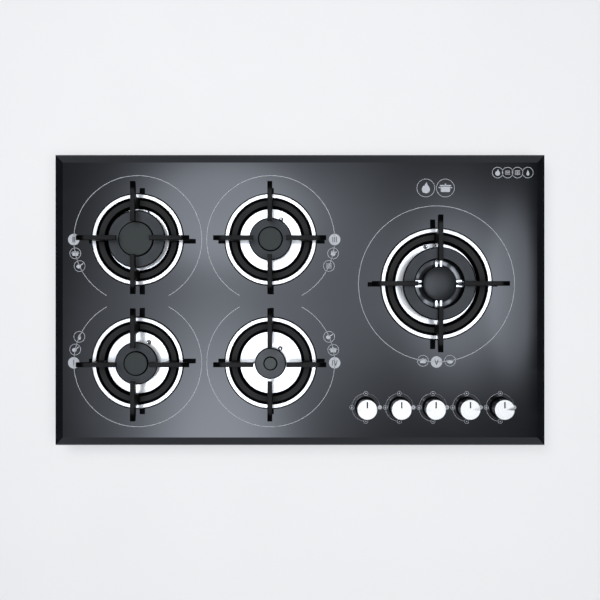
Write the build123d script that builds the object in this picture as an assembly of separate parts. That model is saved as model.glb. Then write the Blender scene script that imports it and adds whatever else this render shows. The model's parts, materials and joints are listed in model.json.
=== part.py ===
"""Built-in gas cooktop: five burners under a bevelled glass top, in millimetres.

+X is the user's right, +Y the rear, +Z up. The origin is on the worktop's top surface,
at the centre of the cut-out, so the seal stands on z = 0 and the under-box hangs below.
"""
from build123d import *
from math import cos, pi, radians, sin
import os

os.makedirs("parts", exist_ok=True)

# Fits
running_clearance = 0.05
loose_clearance = 0.3
cut_margin = 1.0

# Glass top and seal
glass_length = 860.0
glass_depth = 510.0
glass_thickness = 8.0
bevel_width = 14.0
bevel_drop = 4.0
seal_thickness = 2.0
seal_width = 10.0
seal_inset = 4.0

# Worktop cut-out and under-box
glass_overlap = 15.0
box_side_gap = 10.0
box_sheet = 1.0
box_drop = 50.0
box_corner_r = 12.0
box_flange = 8.0

# Burner places: columns from the left edge of the glass, the wok burner from its right edge
left_column_inset = 145.5
column_pitch = 233.1
row_pitch = 216.1
row_centre_y = -2.05
wok_inset = 190.7
wok_y = 28.2

# Drip dishes
small_trim_r = 79.3
wok_trim_r = 96.6
trim_width = 6.3
trim_height = 1.8
trim_rounding = 0.7
dish_sheet = 1.0
dish_depth = 7.0
dish_wall_lean = 1.0

# Pan supports
support_height = 42.0
support_ring_width = 15.4
support_ring_gap = 2.6
support_ring_inner_height = 2.0
support_ring_bevel_width = 4.0
support_ring_bevel_rise = 3.5
support_ring_outer_height = 7.5
support_ring_rounding = 1.2
arm_count = 4
arm_thickness = 8.0
arm_tip_height = 9.0
arm_root_height = 13.0
arm_rounding = 1.4
arm_root_rounding = 7.0
arm_tip_rounding = 4.0
arm_leg_taper = 2.0
small_arm_inner_r = 28.0
small_arm_outer_r = 96.0
wok_arm_inner_r = 38.5
wok_arm_outer_r = 117.0

# Burner caps
auxiliary_cap_r = 27.2
auxiliary_disc_r = 10.3
semi_rapid_cap_r = 37.2
semi_rapid_disc_r = 19.7
rapid_cap_r = 50.3
rapid_disc_r = 29.0
cap_rim_height = 3.6
cap_dome_rise = 1.6
cap_disc_rise = 3.0
cap_key_depth = 3.0
cap_key_wall = 2.0
cap_rounding = 1.0

# Flame rings
cap_overhang = 2.5
flame_plate = 3.0
flame_wall = 4.0
flame_wall_height = 9.0
flame_skirt_wall = 2.0
flame_skirt_depth = 4.0
slot_width = 1.6
slot_depth = 5.0
slot_pitch = 6.0
slot_least_count = 8
mixing_tube_wall = 2.0
mixing_tube_drop = 10.0
auxiliary_mixing_r = 6.0
semi_rapid_mixing_r = 8.0
rapid_mixing_r = 10.0

# Wok burner: a base plate that carries three flame rings and the bridges between them
crown_cap_r = 63.0
crown_cap_inner_r = 41.8
crown_cap_thickness = 5.5
crown_plate_height = 12.0
crown_wall_height = 15.0
wok_centre_cap_r = 29.4
wok_centre_cap_rise = 6.0
wok_centre_cap_slope = 4.0
wok_centre_wall_height = 18.0
wok_mixing_r = 9.0
bridge_count = 4
bridge_width = 14.0
bridge_height = 12.0
bridge_groove_width = 4.0
bridge_groove_depth = 2.0
wok_slot_pitch = 8.0

# Burner cups
cup_base_drop = 26.0
cup_wall = 3.0
cup_foot_r = 18.0
cup_foot_height = 14.0
cup_floor = 11.0
cup_flange = 2.0
cup_flange_margin = 5.0
cup_neck_inset = 6.0
cup_neck_above_dish = 3.0
cup_boss_r = 5.5
cup_boss_reach = 12.0
gas_passage_r = 2.0

# Injectors
injector_hex_r = 5.0
injector_hex_height = 5.0
injector_thread_r = 3.0
injector_thread_length = 5.0
injector_orifice_r = 0.5

# Spark electrodes and thermocouples, standing beside each cap
auxiliary_probe_r = 30.0
semi_rapid_probe_r = 40.0
rapid_probe_r = 51.2
wok_probe_r = 67.5
electrode_r = 2.5
electrode_tip_r = 1.1
electrode_tip_length = 3.0
electrode_above_dish = 13.0
thermocouple_r = 2.0
thermocouple_above_dish = 14.0
probe_below_flange = 12.0
auxiliary_electrode_angle = 56.0
semi_rapid_electrode_angle = 63.0
rapid_electrode_angle = 70.0
wok_electrode_angle = 105.8
small_thermocouple_angle = 180.0
wok_thermocouple_angle = 92.0

# Burner rails in the under-box
rail_web = 44.0
rail_lip = 10.0
rail_sheet = 1.5
rail_overrun = 45.0

# Knobs and gas taps
tap_count = 5
last_tap_inset = 79.0
tap_pitch = 58.9
tap_front_inset = 66.7
knob_r = 17.0
knob_top_above_glass = 29.0
knob_travel = 3.5
knob_wall = 3.5
knob_cavity_height = 9.6
knob_hub_r = 8.0
knob_hub_clearance = 4.0
knob_edge_rounding = 0.8
pointer_start = 2.6
pointer_length = 11.0
pointer_width = 2.4
pointer_depth = 0.6
knob_seal_r = 19.1
knob_seal_sheet = 0.6
knob_seal_collar_r = 10.0
knob_seal_collar_height = 4.0
knob_seal_bore_r = 5.0
glass_tap_hole_r = 7.0
spindle_r = 4.0
spindle_flat_depth = 1.0
spindle_into_knob = 13.5
spindle_into_plug = 4.5
tap_width = 24.0
tap_back_reach = 12.0
tap_glass_gap = 6.0
tap_height = 26.0
tap_top_web = 5.0
tap_chamber_r = 7.0
plug_length = 14.0
plug_above_tap_base = 3.0
plug_socket_depth = 9.0
tap_outlet_r = 6.0
tap_outlet_reach = 8.0

# Gas line
manifold_r = 8.0
manifold_wall = 1.5
manifold_drop = 17.0
manifold_from_taps = 22.0
manifold_left_overrun = 20.0
manifold_bend_r = 20.0
pipe_r = 4.0
pipe_wall = 1.0
pipe_drop = 20.0
pipe_bend_r = 8.0
pipe_lane_pitch = 18.0
low_pipe_step = 18.0
middle_lane_y = 0.0
jog_lane_gap = 48.3
low_lane_gap = 16.5
low_pipe_rise_gap = 28.5

# Gas inlet, in a recess at the rear right corner
inlet_from_side_wall = 20.0
inlet_from_rear_wall = 25.0
inlet_block = 24.0
inlet_block_height = 23.0
inlet_block_corner_r = 2.0
inlet_thread_r = 10.48
inlet_nut_r = 15.0
inlet_nut_height = 4.0
inlet_thread_length = 13.5
inlet_recess_length = 55.0
inlet_recess_depth = 55.0
inlet_recess_rise = 20.5

# Fixing clamps, each in a recess under the box
clamp_from_side = 135.0
clamp_from_wall = 15.0
clamp_reach = 38.0
clamp_width = 14.0
clamp_sheet = 2.0
clamp_tip_rise = 3.0
clamp_above_floor = 4.0
clamp_recess_depth = 30.0
clamp_recess_rise = 10.0
clamp_recess_side = 9.0
clamp_recess_end = 8.0
clamp_screw_r = 2.25
clamp_screw_head_r = 4.0
clamp_screw_head = 2.5
clamp_screw_slot = 1.0
clamp_nut_r = 5.0
clamp_nut_height = 5.0

# Ignition module and cable gland
module_from_left_column = 119.0
module_from_wall = 17.0
module_length = 70.0
module_width = 46.0
module_height = 25.0
module_rounding = 2.0
module_terminal_r = 3.0
module_terminal_height = 6.0
module_terminal_pitch = 11.0
gland_from_module = 65.0
gland_drop = 30.0
gland_r = 8.0
gland_flange_r = 11.0
gland_flange = 2.5
gland_inside = 8.0
gland_bore_r = 4.5

# Levels that the pieces share
glass_bottom = seal_thickness
glass_top = glass_bottom + glass_thickness
dish_floor = glass_top - dish_depth
dish_underside = dish_floor - dish_sheet
cup_base = -cup_base_drop
neck_top = dish_floor + cup_neck_above_dish
box_floor = -box_drop
box_inner_floor = box_floor + box_sheet
cutout_length = glass_length - 2 * glass_overlap
cutout_depth = glass_depth - 2 * glass_overlap
box_length = cutout_length - 2 * box_side_gap
box_depth = cutout_depth - 2 * box_side_gap
left_column_x = left_column_inset - glass_length / 2
middle_column_x = left_column_x + column_pitch
rear_row_y = row_centre_y + row_pitch / 2
front_row_y = row_centre_y - row_pitch / 2
wok_x = glass_length / 2 - wok_inset
cap_seat = neck_top + flame_plate + flame_wall_height
crown_plate_bottom = neck_top + crown_plate_height - flame_plate
crown_plate_top = neck_top + crown_plate_height
tap_top = glass_bottom - tap_glass_gap
tap_base = tap_top - tap_height
tap_y = tap_front_inset - glass_depth / 2
first_tap_x = glass_length / 2 - last_tap_inset - tap_pitch * (tap_count - 1)
tap_xs = [first_tap_x + tap_pitch * index for index in range(tap_count)]
manifold_y = tap_y - manifold_from_taps
pipe_z = -pipe_drop
pipe_start_y = tap_y + tap_back_reach + tap_outlet_reach
inlet_x = box_length / 2 - inlet_from_side_wall
inlet_y = box_depth / 2 - inlet_from_rear_wall
module_x = left_column_x + module_from_left_column
module_y = box_depth / 2 - module_from_wall - module_width / 2
gland_x = module_x + gland_from_module


class Burner:
    """One burner's place and sizes, with what follows from them."""

    def __init__(self, name, x, y, ring_r, mixing_r, trim_r, probe_r, electrode_angle,
                 thermocouple_angle, feed_angle, arm_inner_r, arm_outer_r):
        self.name = name
        self.x = x
        self.y = y
        self.ring_r = ring_r
        self.mixing_r = mixing_r
        self.trim_r = trim_r
        self.probe_r = probe_r
        self.electrode_angle = electrode_angle
        self.thermocouple_angle = thermocouple_angle
        self.feed_angle = feed_angle
        self.arm_inner_r = arm_inner_r
        self.arm_outer_r = arm_outer_r
        self.basin_r = trim_r - trim_width
        self.basin_floor_r = self.basin_r - dish_wall_lean
        self.neck_r = ring_r - cup_neck_inset
        self.bore_r = self.neck_r - cup_wall
        self.glass_hole_r = self.basin_r + dish_sheet + loose_clearance

    def place(self, shape):
        return Pos(self.x, self.y, 0) * shape

    def around(self, angle, radius):
        return radius * cos(radians(angle)), radius * sin(radians(angle))

    def feed_point(self):
        reach = cup_foot_r + cup_boss_reach
        x, y = self.around(self.feed_angle, reach)
        return self.x + x, self.y + y, pipe_z


def small_burner(name, x, y, cap_r, mixing_r, probe_r, electrode_angle, feed_angle):
    return Burner(name, x, y, cap_r - cap_overhang, mixing_r, small_trim_r, probe_r, electrode_angle,
                  small_thermocouple_angle, feed_angle, small_arm_inner_r, small_arm_outer_r)


rear_left = small_burner("rear_left", left_column_x, rear_row_y, rapid_cap_r, rapid_mixing_r,
                         rapid_probe_r, rapid_electrode_angle, -90)
rear_middle = small_burner("rear_middle", middle_column_x, rear_row_y, semi_rapid_cap_r,
                           semi_rapid_mixing_r, semi_rapid_probe_r, semi_rapid_electrode_angle, -90)
front_left = small_burner("front_left", left_column_x, front_row_y, semi_rapid_cap_r,
                          semi_rapid_mixing_r, semi_rapid_probe_r, semi_rapid_electrode_angle, 90)
front_middle = small_burner("front_middle", middle_column_x, front_row_y, auxiliary_cap_r,
                            auxiliary_mixing_r, auxiliary_probe_r, auxiliary_electrode_angle, 0)
wok = Burner("wok", wok_x, wok_y, crown_cap_r - cap_overhang, wok_mixing_r, wok_trim_r, wok_probe_r,
             wok_electrode_angle, wok_thermocouple_angle, 0, wok_arm_inner_r, wok_arm_outer_r)
small_burners = [rear_left, rear_middle, front_left, front_middle]
burners = small_burners + [wok]
disc_radii = {
    "rear_left": rapid_disc_r,
    "rear_middle": semi_rapid_disc_r,
    "front_left": semi_rapid_disc_r,
    "front_middle": auxiliary_disc_r,
}


# Shapes used by several pieces

def disc(radius, bottom, top):
    return Pos(0, 0, bottom) * extrude(Circle(radius), top - bottom)


def ring(outer_r, inner_r, bottom, top):
    return Pos(0, 0, bottom) * extrude(Circle(outer_r) - Circle(inner_r), top - bottom)


def block(length, depth, bottom, top, corner_r=0.0):
    outline = RectangleRounded(length, depth, corner_r) if corner_r else Rectangle(length, depth)
    return Pos(0, 0, bottom) * extrude(outline, top - bottom)


def hexagon(corner_r, bottom, top):
    return Pos(0, 0, bottom) * extrude(RegularPolygon(corner_r, 6), top - bottom)


def turned(points, rounded=(), rounding=0.0):
    """A profile of (radius, height) points turned about Z, with the listed corners rounded."""
    profile = make_face(Polyline(*points, close=True))
    if rounding:
        profile = fillet(listed_corners(profile, rounded), rounding)
    return revolve(Plane.XZ * profile, Axis.Z)


def listed_corners(face, points):
    return [vertex for vertex in face.vertices()
            if any(abs(vertex.X - x) + abs(vertex.Y - y) < 1e-6 for x, y in points)]


def rod_along_y(radius, start, end):
    return Pos(0, start, 0) * Rot(-90, 0, 0) * extrude(Circle(radius), end - start)


def tube(points, outer_r, inner_r, bend_r):
    """A round tube along straight runs joined by bends."""
    path = FilletPolyline(*points, radius=bend_r)
    start = Plane(origin=path @ 0, z_dir=path % 0)
    return sweep(start * (Circle(outer_r) - Circle(inner_r)), path=path)


def save(name, *solids):
    bodies = [solid for shape in solids for solid in shape.solids()]
    export_step(Compound(bodies) if len(bodies) > 1 else bodies[0], f"parts/{name}.step")


# Glass, seal and under-box

def glass_plate():
    edge_top = glass_top - bevel_drop
    slab = block(glass_length, glass_depth, glass_bottom, edge_top)
    outline = Pos(0, 0, edge_top) * Rectangle(glass_length, glass_depth)
    flat = Pos(0, 0, glass_top) * Rectangle(glass_length - 2 * bevel_width, glass_depth - 2 * bevel_width)
    plate = slab + loft([outline, flat], ruled=True)
    for burner in burners:
        plate -= burner.place(disc(burner.glass_hole_r, glass_bottom - cut_margin, glass_top + cut_margin))
    for x in tap_xs:
        plate -= Pos(x, tap_y, 0) * disc(glass_tap_hole_r, glass_bottom - cut_margin, glass_top + cut_margin)
    return plate


def worktop_seal():
    length = glass_length - 2 * seal_inset
    depth = glass_depth - 2 * seal_inset
    outline = Rectangle(length, depth) - Rectangle(length - 2 * seal_width, depth - 2 * seal_width)
    return extrude(outline, seal_thickness)


def clamp_places():
    x = box_length / 2 - clamp_from_side
    y = box_depth / 2 - clamp_from_wall
    return {
        "front_left": (-x, -y, -1),
        "front_right": (x, -y, -1),
        "rear_left": (-x, y, 1),
        "rear_right": (x, y, 1),
    }


def clamp_recess(x, side, sheet):
    """The space under the box where one clamp turns, grown inwards by the sheet."""
    low_x = x - clamp_recess_side - sheet
    high_x = x + clamp_reach + clamp_recess_end + sheet
    depth = clamp_recess_depth + sheet
    centre_y = side * (box_depth / 2 - depth / 2)
    top = box_floor + clamp_recess_rise + sheet
    return Pos((low_x + high_x) / 2, centre_y, 0) * block(high_x - low_x, depth, box_floor, top)


def inlet_recess(sheet):
    length = inlet_recess_length + sheet
    depth = inlet_recess_depth + sheet
    x = box_length / 2 - length / 2
    y = box_depth / 2 - depth / 2
    return Pos(x, y, 0) * block(length, depth, box_floor, box_floor + inlet_recess_rise + sheet)


def underbox():
    inner_length = box_length - 2 * box_sheet
    inner_depth = box_depth - 2 * box_sheet
    outside = block(box_length, box_depth, box_floor, glass_bottom, box_corner_r)
    inside = block(inner_length, inner_depth, box_inner_floor, glass_bottom, box_corner_r - box_sheet)
    for x, y, side in clamp_places().values():
        outside -= clamp_recess(x, side, 0)
        inside -= clamp_recess(x, side, box_sheet)
    outside -= inlet_recess(0)
    inside -= inlet_recess(box_sheet)
    lip = block(box_length + 2 * box_flange, box_depth + 2 * box_flange,
                glass_bottom - box_sheet, glass_bottom, box_corner_r + box_flange)
    lip -= block(inner_length, inner_depth, glass_bottom - box_sheet, glass_bottom, box_corner_r - box_sheet)
    shell = outside + lip - inside
    for x, y, side in clamp_places().values():
        ceiling = box_floor + clamp_recess_rise
        nut_top = ceiling + box_sheet + clamp_nut_height
        shell += Pos(x, y, 0) * disc(clamp_nut_r, ceiling, nut_top)
        shell -= Pos(x, y, 0) * disc(clamp_screw_r + running_clearance, ceiling, nut_top)
    ceiling = box_floor + inlet_recess_rise
    shell -= Pos(inlet_x, inlet_y, 0) * disc(inlet_thread_r + loose_clearance, ceiling, ceiling + box_sheet)
    wall_y = box_depth / 2
    hole_r = gland_r + running_clearance
    hole = rod_along_y(hole_r, wall_y - box_sheet - cut_margin, wall_y + cut_margin)
    shell -= Pos(gland_x, 0, -gland_drop) * hole
    return shell


def burner_rail(x, low_y, high_y):
    """A hat-section rail on the box floor, with the burner cups standing on its web."""
    height = cup_base - box_inner_floor
    half_web = rail_web / 2
    foot = half_web + rail_lip
    under = half_web - rail_sheet
    section = make_face(Polyline(
        (-foot, 0), (-foot, rail_sheet), (-half_web, rail_sheet), (-half_web, height),
        (half_web, height), (half_web, rail_sheet), (foot, rail_sheet), (foot, 0),
        (under, 0), (under, height - rail_sheet), (-under, height - rail_sheet), (-under, 0), close=True))
    length = high_y - low_y
    return Pos(x, high_y, box_inner_floor) * extrude(Plane.XZ * section, length)


def burner_rails():
    low_y = front_row_y - rail_overrun
    high_y = rear_row_y + rail_overrun
    return [
        burner_rail(left_column_x, low_y, high_y),
        burner_rail(middle_column_x, low_y, high_y),
        burner_rail(wok_x, wok_y - rail_overrun, wok_y + rail_overrun),
    ]


# Burners

def drip_dish(burner):
    """A basin let into the glass, with a rolled rim lying on it."""
    hole_r = burner.neck_r + loose_clearance
    rim_top = glass_top + trim_height
    outer_floor_r = burner.basin_floor_r + dish_sheet
    rim_corners = [(burner.basin_r, rim_top), (burner.trim_r, rim_top)]
    dish = turned([
        (hole_r, dish_floor), (burner.basin_floor_r, dish_floor), rim_corners[0], rim_corners[1],
        (burner.trim_r, glass_top), (burner.basin_r + dish_sheet, glass_top),
        (outer_floor_r, dish_underside), (hole_r, dish_underside),
    ], rim_corners, trim_rounding)
    for angle, radius in probe_places(burner):
        x, y = burner.around(angle, burner.probe_r)
        dish -= Pos(x, y, 0) * disc(radius + running_clearance, dish_underside, dish_floor)
    return burner.place(dish)


def probe_places(burner):
    return [(burner.electrode_angle, electrode_r), (burner.thermocouple_angle, thermocouple_r)]


def burner_cup(burner):
    """A cast cup: foot on the rail, flange under the dish, neck through it, gas boss at the side."""
    flange_r = burner.probe_r + cup_flange_margin
    flange_bottom = dish_underside - cup_flange
    foot_top = cup_base + cup_foot_height
    floor_top = cup_base + cup_floor
    cup = turned([
        (0, cup_base), (cup_foot_r, cup_base), (cup_foot_r, foot_top), (burner.neck_r, flange_bottom),
        (flange_r, flange_bottom), (flange_r, dish_underside), (burner.neck_r, dish_underside),
        (burner.neck_r, neck_top), (burner.bore_r, neck_top), (burner.bore_r, flange_bottom),
        (cup_foot_r - cup_wall, foot_top), (cup_foot_r - cup_wall, floor_top), (0, floor_top),
    ])
    face = cup_foot_r + cup_boss_reach
    turn = Rot(0, 0, burner.feed_angle - 90)
    cup += turn * Pos(0, 0, pipe_z) * rod_along_y(cup_boss_r, cup_foot_r - cup_wall, face)
    cup -= turn * Pos(0, 0, pipe_z) * rod_along_y(gas_passage_r, 0, face)
    cup -= disc(injector_thread_r + running_clearance, pipe_z, floor_top)
    for angle, radius in probe_places(burner):
        x, y = burner.around(angle, burner.probe_r)
        cup -= Pos(x, y, 0) * disc(radius + running_clearance, flange_bottom, dish_underside)
    return burner.place(cup)


def injector(burner):
    seat = cup_base + cup_floor
    body = hexagon(injector_hex_r, seat, seat + injector_hex_height)
    body += disc(injector_thread_r, seat - injector_thread_length, seat)
    body -= disc(injector_orifice_r, seat - injector_thread_length, seat + injector_hex_height)
    return burner.place(body)


def spark_electrode(burner):
    x, y = burner.around(burner.electrode_angle, burner.probe_r)
    foot = dish_underside - cup_flange - probe_below_flange
    top = dish_floor + electrode_above_dish
    shoulder = top - electrode_tip_length
    body = disc(electrode_r, foot, shoulder) + disc(electrode_tip_r, shoulder, top)
    return burner.place(Pos(x, y, 0) * body)


def thermocouple(burner):
    x, y = burner.around(burner.thermocouple_angle, burner.probe_r)
    foot = dish_underside - cup_flange - probe_below_flange
    tip = dish_floor + thermocouple_above_dish
    body = turned([
        (0, foot), (thermocouple_r, foot), (thermocouple_r, tip - thermocouple_r),
        (thermocouple_r / 2, tip), (0, tip),
    ])
    return burner.place(Pos(x, y, 0) * body)


def flame_slots(wall_outer_r, wall, top, pitch=slot_pitch):
    """Radial slots through a round wall, open at its top, spaced by the slot pitch."""
    middle_r = wall_outer_r - wall / 2
    count = max(slot_least_count, int(2 * pi * wall_outer_r / pitch))
    hung_from_top = (Align.CENTER, Align.CENTER, Align.MAX)
    cutter = Box(wall + 2 * cut_margin, slot_width, slot_depth, align=hung_from_top)
    places = [Rot(0, 0, 360 * index / count) * Pos(middle_r, 0, top) for index in range(count)]
    return [place * cutter for place in places]


def flame_ring(burner):
    """Plate on the cup's neck, slotted wall under the cap, skirt and mixing tube in the cup."""
    plate_top = neck_top + flame_plate
    skirt_r = burner.bore_r - loose_clearance
    tube_r = burner.mixing_r + mixing_tube_wall
    body = ring(burner.ring_r, burner.mixing_r, neck_top, plate_top)
    body += ring(burner.ring_r, burner.ring_r - flame_wall, plate_top, cap_seat)
    body += ring(skirt_r, skirt_r - flame_skirt_wall, neck_top - flame_skirt_depth, neck_top)
    body += ring(tube_r, burner.mixing_r, neck_top - mixing_tube_drop, neck_top)
    body -= flame_slots(burner.ring_r, flame_wall, cap_seat)
    return burner.place(body)


def burner_cap(burner, disc_r):
    """An enamelled lid with a raised disc, keyed inside the flame ring's wall."""
    cap_r = burner.ring_r + cap_overhang
    rim_top = cap_seat + cap_rim_height
    shoulder = rim_top + cap_dome_rise
    top = shoulder + cap_disc_rise
    key_r = burner.ring_r - flame_wall - loose_clearance
    rounded = [(cap_r, rim_top), (disc_r, top)]
    lid = turned([
        (0, cap_seat), (cap_r, cap_seat), (cap_r, rim_top), (disc_r, shoulder), (disc_r, top), (0, top),
    ], rounded, cap_rounding)
    lid += ring(key_r, key_r - cap_key_wall, cap_seat - cap_key_depth, cap_seat)
    return burner.place(lid)


def crown_walls():
    """Inner and outer radii of the crown's outer wall and inner wall."""
    outer = (wok.ring_r - flame_wall, wok.ring_r)
    inner_r = crown_cap_inner_r + cap_overhang
    return outer, (inner_r, inner_r + flame_wall)


def wok_base():
    """The plate under the crown, with its skirt on the cup's neck and the mixing tube."""
    tube_r = wok_mixing_r + mixing_tube_wall
    skirt_r = wok.bore_r - loose_clearance
    skirt_inner_r = skirt_r - flame_skirt_wall
    body = ring(wok.ring_r, wok_mixing_r, crown_plate_bottom, crown_plate_top)
    body += ring(wok.neck_r, skirt_inner_r, neck_top, crown_plate_bottom)
    body += ring(skirt_r, skirt_inner_r, neck_top - flame_skirt_depth, neck_top)
    body += ring(tube_r, wok_mixing_r, neck_top - mixing_tube_drop, crown_plate_bottom)
    return body


def slotted_ring(inner_r, outer_r, height):
    """A round wall standing on the base plate, with flame slots along its top."""
    top = crown_plate_top + height
    wall = ring(outer_r, inner_r, crown_plate_top, top)
    return wall - flame_slots(outer_r, flame_wall, top, wok_slot_pitch)


def wok_flame_rings():
    """The crown's outer and inner flame rings and the central one."""
    centre_outer_r = wok_centre_cap_r - cap_overhang
    rings = [slotted_ring(inner_r, outer_r, crown_wall_height) for inner_r, outer_r in crown_walls()]
    return rings + [slotted_ring(centre_outer_r - flame_wall, centre_outer_r, wok_centre_wall_height)]


def wok_bridges():
    """Grooved ducts across the trough, between the central ring and the crown."""
    start = wok_centre_cap_r - cap_overhang + loose_clearance
    end = crown_walls()[1][0] - loose_clearance
    top = crown_plate_top + bridge_height
    groove = block(end, bridge_groove_width, top - bridge_groove_depth, top)
    bridge = Pos(end / 2, 0, 0) * (block(end, bridge_width, crown_plate_top, top) - groove)
    bridge &= ring(end, start, crown_plate_top, top)
    return [Rot(0, 0, 360 * index / bridge_count) * bridge for index in range(bridge_count)]


def wok_crown_cap():
    outer_wall, inner_wall = crown_walls()
    seat = crown_plate_top + crown_wall_height
    top = seat + crown_cap_thickness
    rounded = [(crown_cap_r, top), (crown_cap_inner_r, top)]
    lid = turned([
        (crown_cap_inner_r, seat), (crown_cap_r, seat), (crown_cap_r, top), (crown_cap_inner_r, top),
    ], rounded, cap_rounding)
    key_r = outer_wall[0] - loose_clearance
    lid += ring(key_r, key_r - cap_key_wall, seat - cap_key_depth, seat)
    return wok.place(lid)


def wok_centre_cap():
    seat = crown_plate_top + wok_centre_wall_height
    top = seat + wok_centre_cap_rise
    shoulder = seat + wok_centre_cap_rise / 2
    crown_r = wok_centre_cap_r - wok_centre_cap_slope
    lid = turned([
        (0, seat), (wok_centre_cap_r, seat), (wok_centre_cap_r, shoulder), (crown_r, top), (0, top),
    ], [(wok_centre_cap_r, shoulder), (crown_r, top)], cap_rounding)
    key_r = wok_centre_cap_r - cap_overhang - flame_wall - loose_clearance
    lid += ring(key_r, key_r - cap_key_wall, seat - cap_key_depth, seat)
    return wok.place(lid)


# Pan supports

def support_arm(burner, ring_inner_r, ring_outer_r):
    """One finger: a leg standing on the ring and a bar that carries the pan."""
    top = glass_top + support_height
    root = top - arm_root_height
    tip = top - arm_tip_height
    foot = dish_floor + support_ring_inner_height / 2
    tips = [(burner.arm_inner_r, tip), (burner.arm_outer_r, tip)]
    roots = [(ring_outer_r + arm_leg_taper, root), (ring_inner_r - arm_leg_taper, root)]
    outline = make_face(Polyline(
        tips[0], (burner.arm_inner_r, top), (burner.arm_outer_r, top), tips[1], roots[0],
        (ring_outer_r - arm_leg_taper, foot), (ring_inner_r + arm_leg_taper, foot), roots[1], close=True))
    outline = fillet(listed_corners(outline, roots), arm_root_rounding)
    outline = fillet(listed_corners(outline, tips), arm_tip_rounding)
    arm = extrude(Plane.XZ * outline, arm_thickness / 2, both=True)
    edges = arm.edges().filter_by(Plane.XY).group_by(Axis.Z)[-1]
    return fillet(edges, min(arm_rounding, arm_thickness / 3))


def pan_support(burner):
    """A ring lying in the dish with upright fingers."""
    outer_r = burner.basin_floor_r - support_ring_gap
    inner_r = outer_r - support_ring_width
    inner_top = dish_floor + support_ring_inner_height
    outer_top = dish_floor + support_ring_outer_height
    bevel = (inner_r + support_ring_bevel_width, inner_top + support_ring_bevel_rise)
    body = turned([
        (inner_r, dish_floor), (outer_r, dish_floor), (outer_r, outer_top), bevel, (inner_r, inner_top),
    ], [bevel, (outer_r, outer_top)], support_ring_rounding)
    arm = support_arm(burner, inner_r, outer_r)
    for index in range(arm_count):
        body += Rot(0, 0, 360 * index / arm_count) * arm
    return burner.place(body)


# Knobs and taps

def d_section(radius, flat_depth, bottom, top):
    """A round rod with a flat along its +X side."""
    rod = disc(radius, bottom, top)
    cut_x = radius - flat_depth
    return rod - Pos(cut_x + radius, 0, 0) * block(2 * radius, 3 * radius, bottom, top)


def tap_body(x):
    """A brass valve block on the manifold, with a chamber open below for its plug."""
    front = manifold_y - tap_y
    depth = tap_back_reach - front
    chamber_top = tap_top - tap_top_web
    body = Pos(0, (front + tap_back_reach) / 2, 0) * block(tap_width, depth, tap_base, tap_top)
    body += Pos(0, 0, pipe_z) * rod_along_y(tap_outlet_r, 0, tap_back_reach + tap_outlet_reach)
    body -= disc(tap_chamber_r, tap_base, chamber_top)
    body -= disc(spindle_r + running_clearance, chamber_top, tap_top)
    body -= Pos(0, 0, pipe_z) * rod_along_y(gas_passage_r, front, tap_back_reach + tap_outlet_reach)
    saddle = Rot(0, 90, 0) * Cylinder(manifold_r + loose_clearance, tap_width)
    saddle = Pos(0, front, -manifold_drop) * saddle
    return Pos(x, tap_y, 0) * (body - saddle)


def tap_plug(x):
    """The turning valve plug, with a D socket that the spindle slides in."""
    bottom = tap_base + plug_above_tap_base
    top = bottom + plug_length
    plug = disc(tap_chamber_r - running_clearance, bottom, top)
    socket_r = spindle_r + running_clearance
    plug -= d_section(socket_r, spindle_flat_depth, top - plug_socket_depth, top)
    return Pos(x, tap_y, 0) * plug


def knob_bottom():
    return glass_top + knob_seal_sheet + knob_travel + loose_clearance


def knob_hub_bottom():
    return glass_top + knob_seal_collar_height + knob_hub_clearance


def spindle(x):
    plug_top = tap_base + plug_above_tap_base + plug_length
    bottom = plug_top - spindle_into_plug
    top = knob_hub_bottom() + spindle_into_knob
    return Pos(x, tap_y, 0) * d_section(spindle_r, spindle_flat_depth, bottom, top)


def knob(x):
    """A turned metal knob with a skirt, a hub and a sunk pointer on the rear half of its top."""
    bottom = knob_bottom()
    top = glass_top + knob_top_above_glass
    cavity_top = bottom + knob_cavity_height
    body = turned([(0, bottom), (knob_r, bottom), (knob_r, top), (0, top)],
                  [(knob_r, top), (knob_r, bottom)], knob_edge_rounding)
    body -= disc(knob_r - knob_wall, bottom, cavity_top)
    body += disc(knob_hub_r, knob_hub_bottom(), cavity_top)
    socket_top = knob_hub_bottom() + spindle_into_knob + loose_clearance
    body -= d_section(spindle_r + running_clearance, spindle_flat_depth, knob_hub_bottom(), socket_top)
    pointer = block(pointer_width, pointer_length, top - pointer_depth, top)
    body -= Pos(0, pointer_start + pointer_length / 2, 0) * pointer
    return Pos(x, tap_y, 0) * body


def knob_seal(x):
    seal = disc(knob_seal_r, glass_top, glass_top + knob_seal_sheet)
    seal += disc(knob_seal_collar_r, glass_top, glass_top + knob_seal_collar_height)
    seal -= disc(knob_seal_bore_r, glass_top, glass_top + knob_seal_collar_height)
    return Pos(x, tap_y, 0) * seal


# Gas line

def gas_manifold():
    """The supply tube: along the taps, round the corner and back to the inlet, closed at its left end."""
    left = tap_xs[0] - manifold_left_overrun
    end_y = inlet_y - inlet_block / 2
    points = [(left, manifold_y, -manifold_drop), (inlet_x, manifold_y, -manifold_drop),
              (inlet_x, end_y, -manifold_drop)]
    supply = tube(points, manifold_r, manifold_r - manifold_wall, manifold_bend_r)
    lid = Pos(left, manifold_y, -manifold_drop) * Rot(0, -90, 0) * disc(manifold_r, 0, manifold_wall)
    return supply + lid


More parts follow.
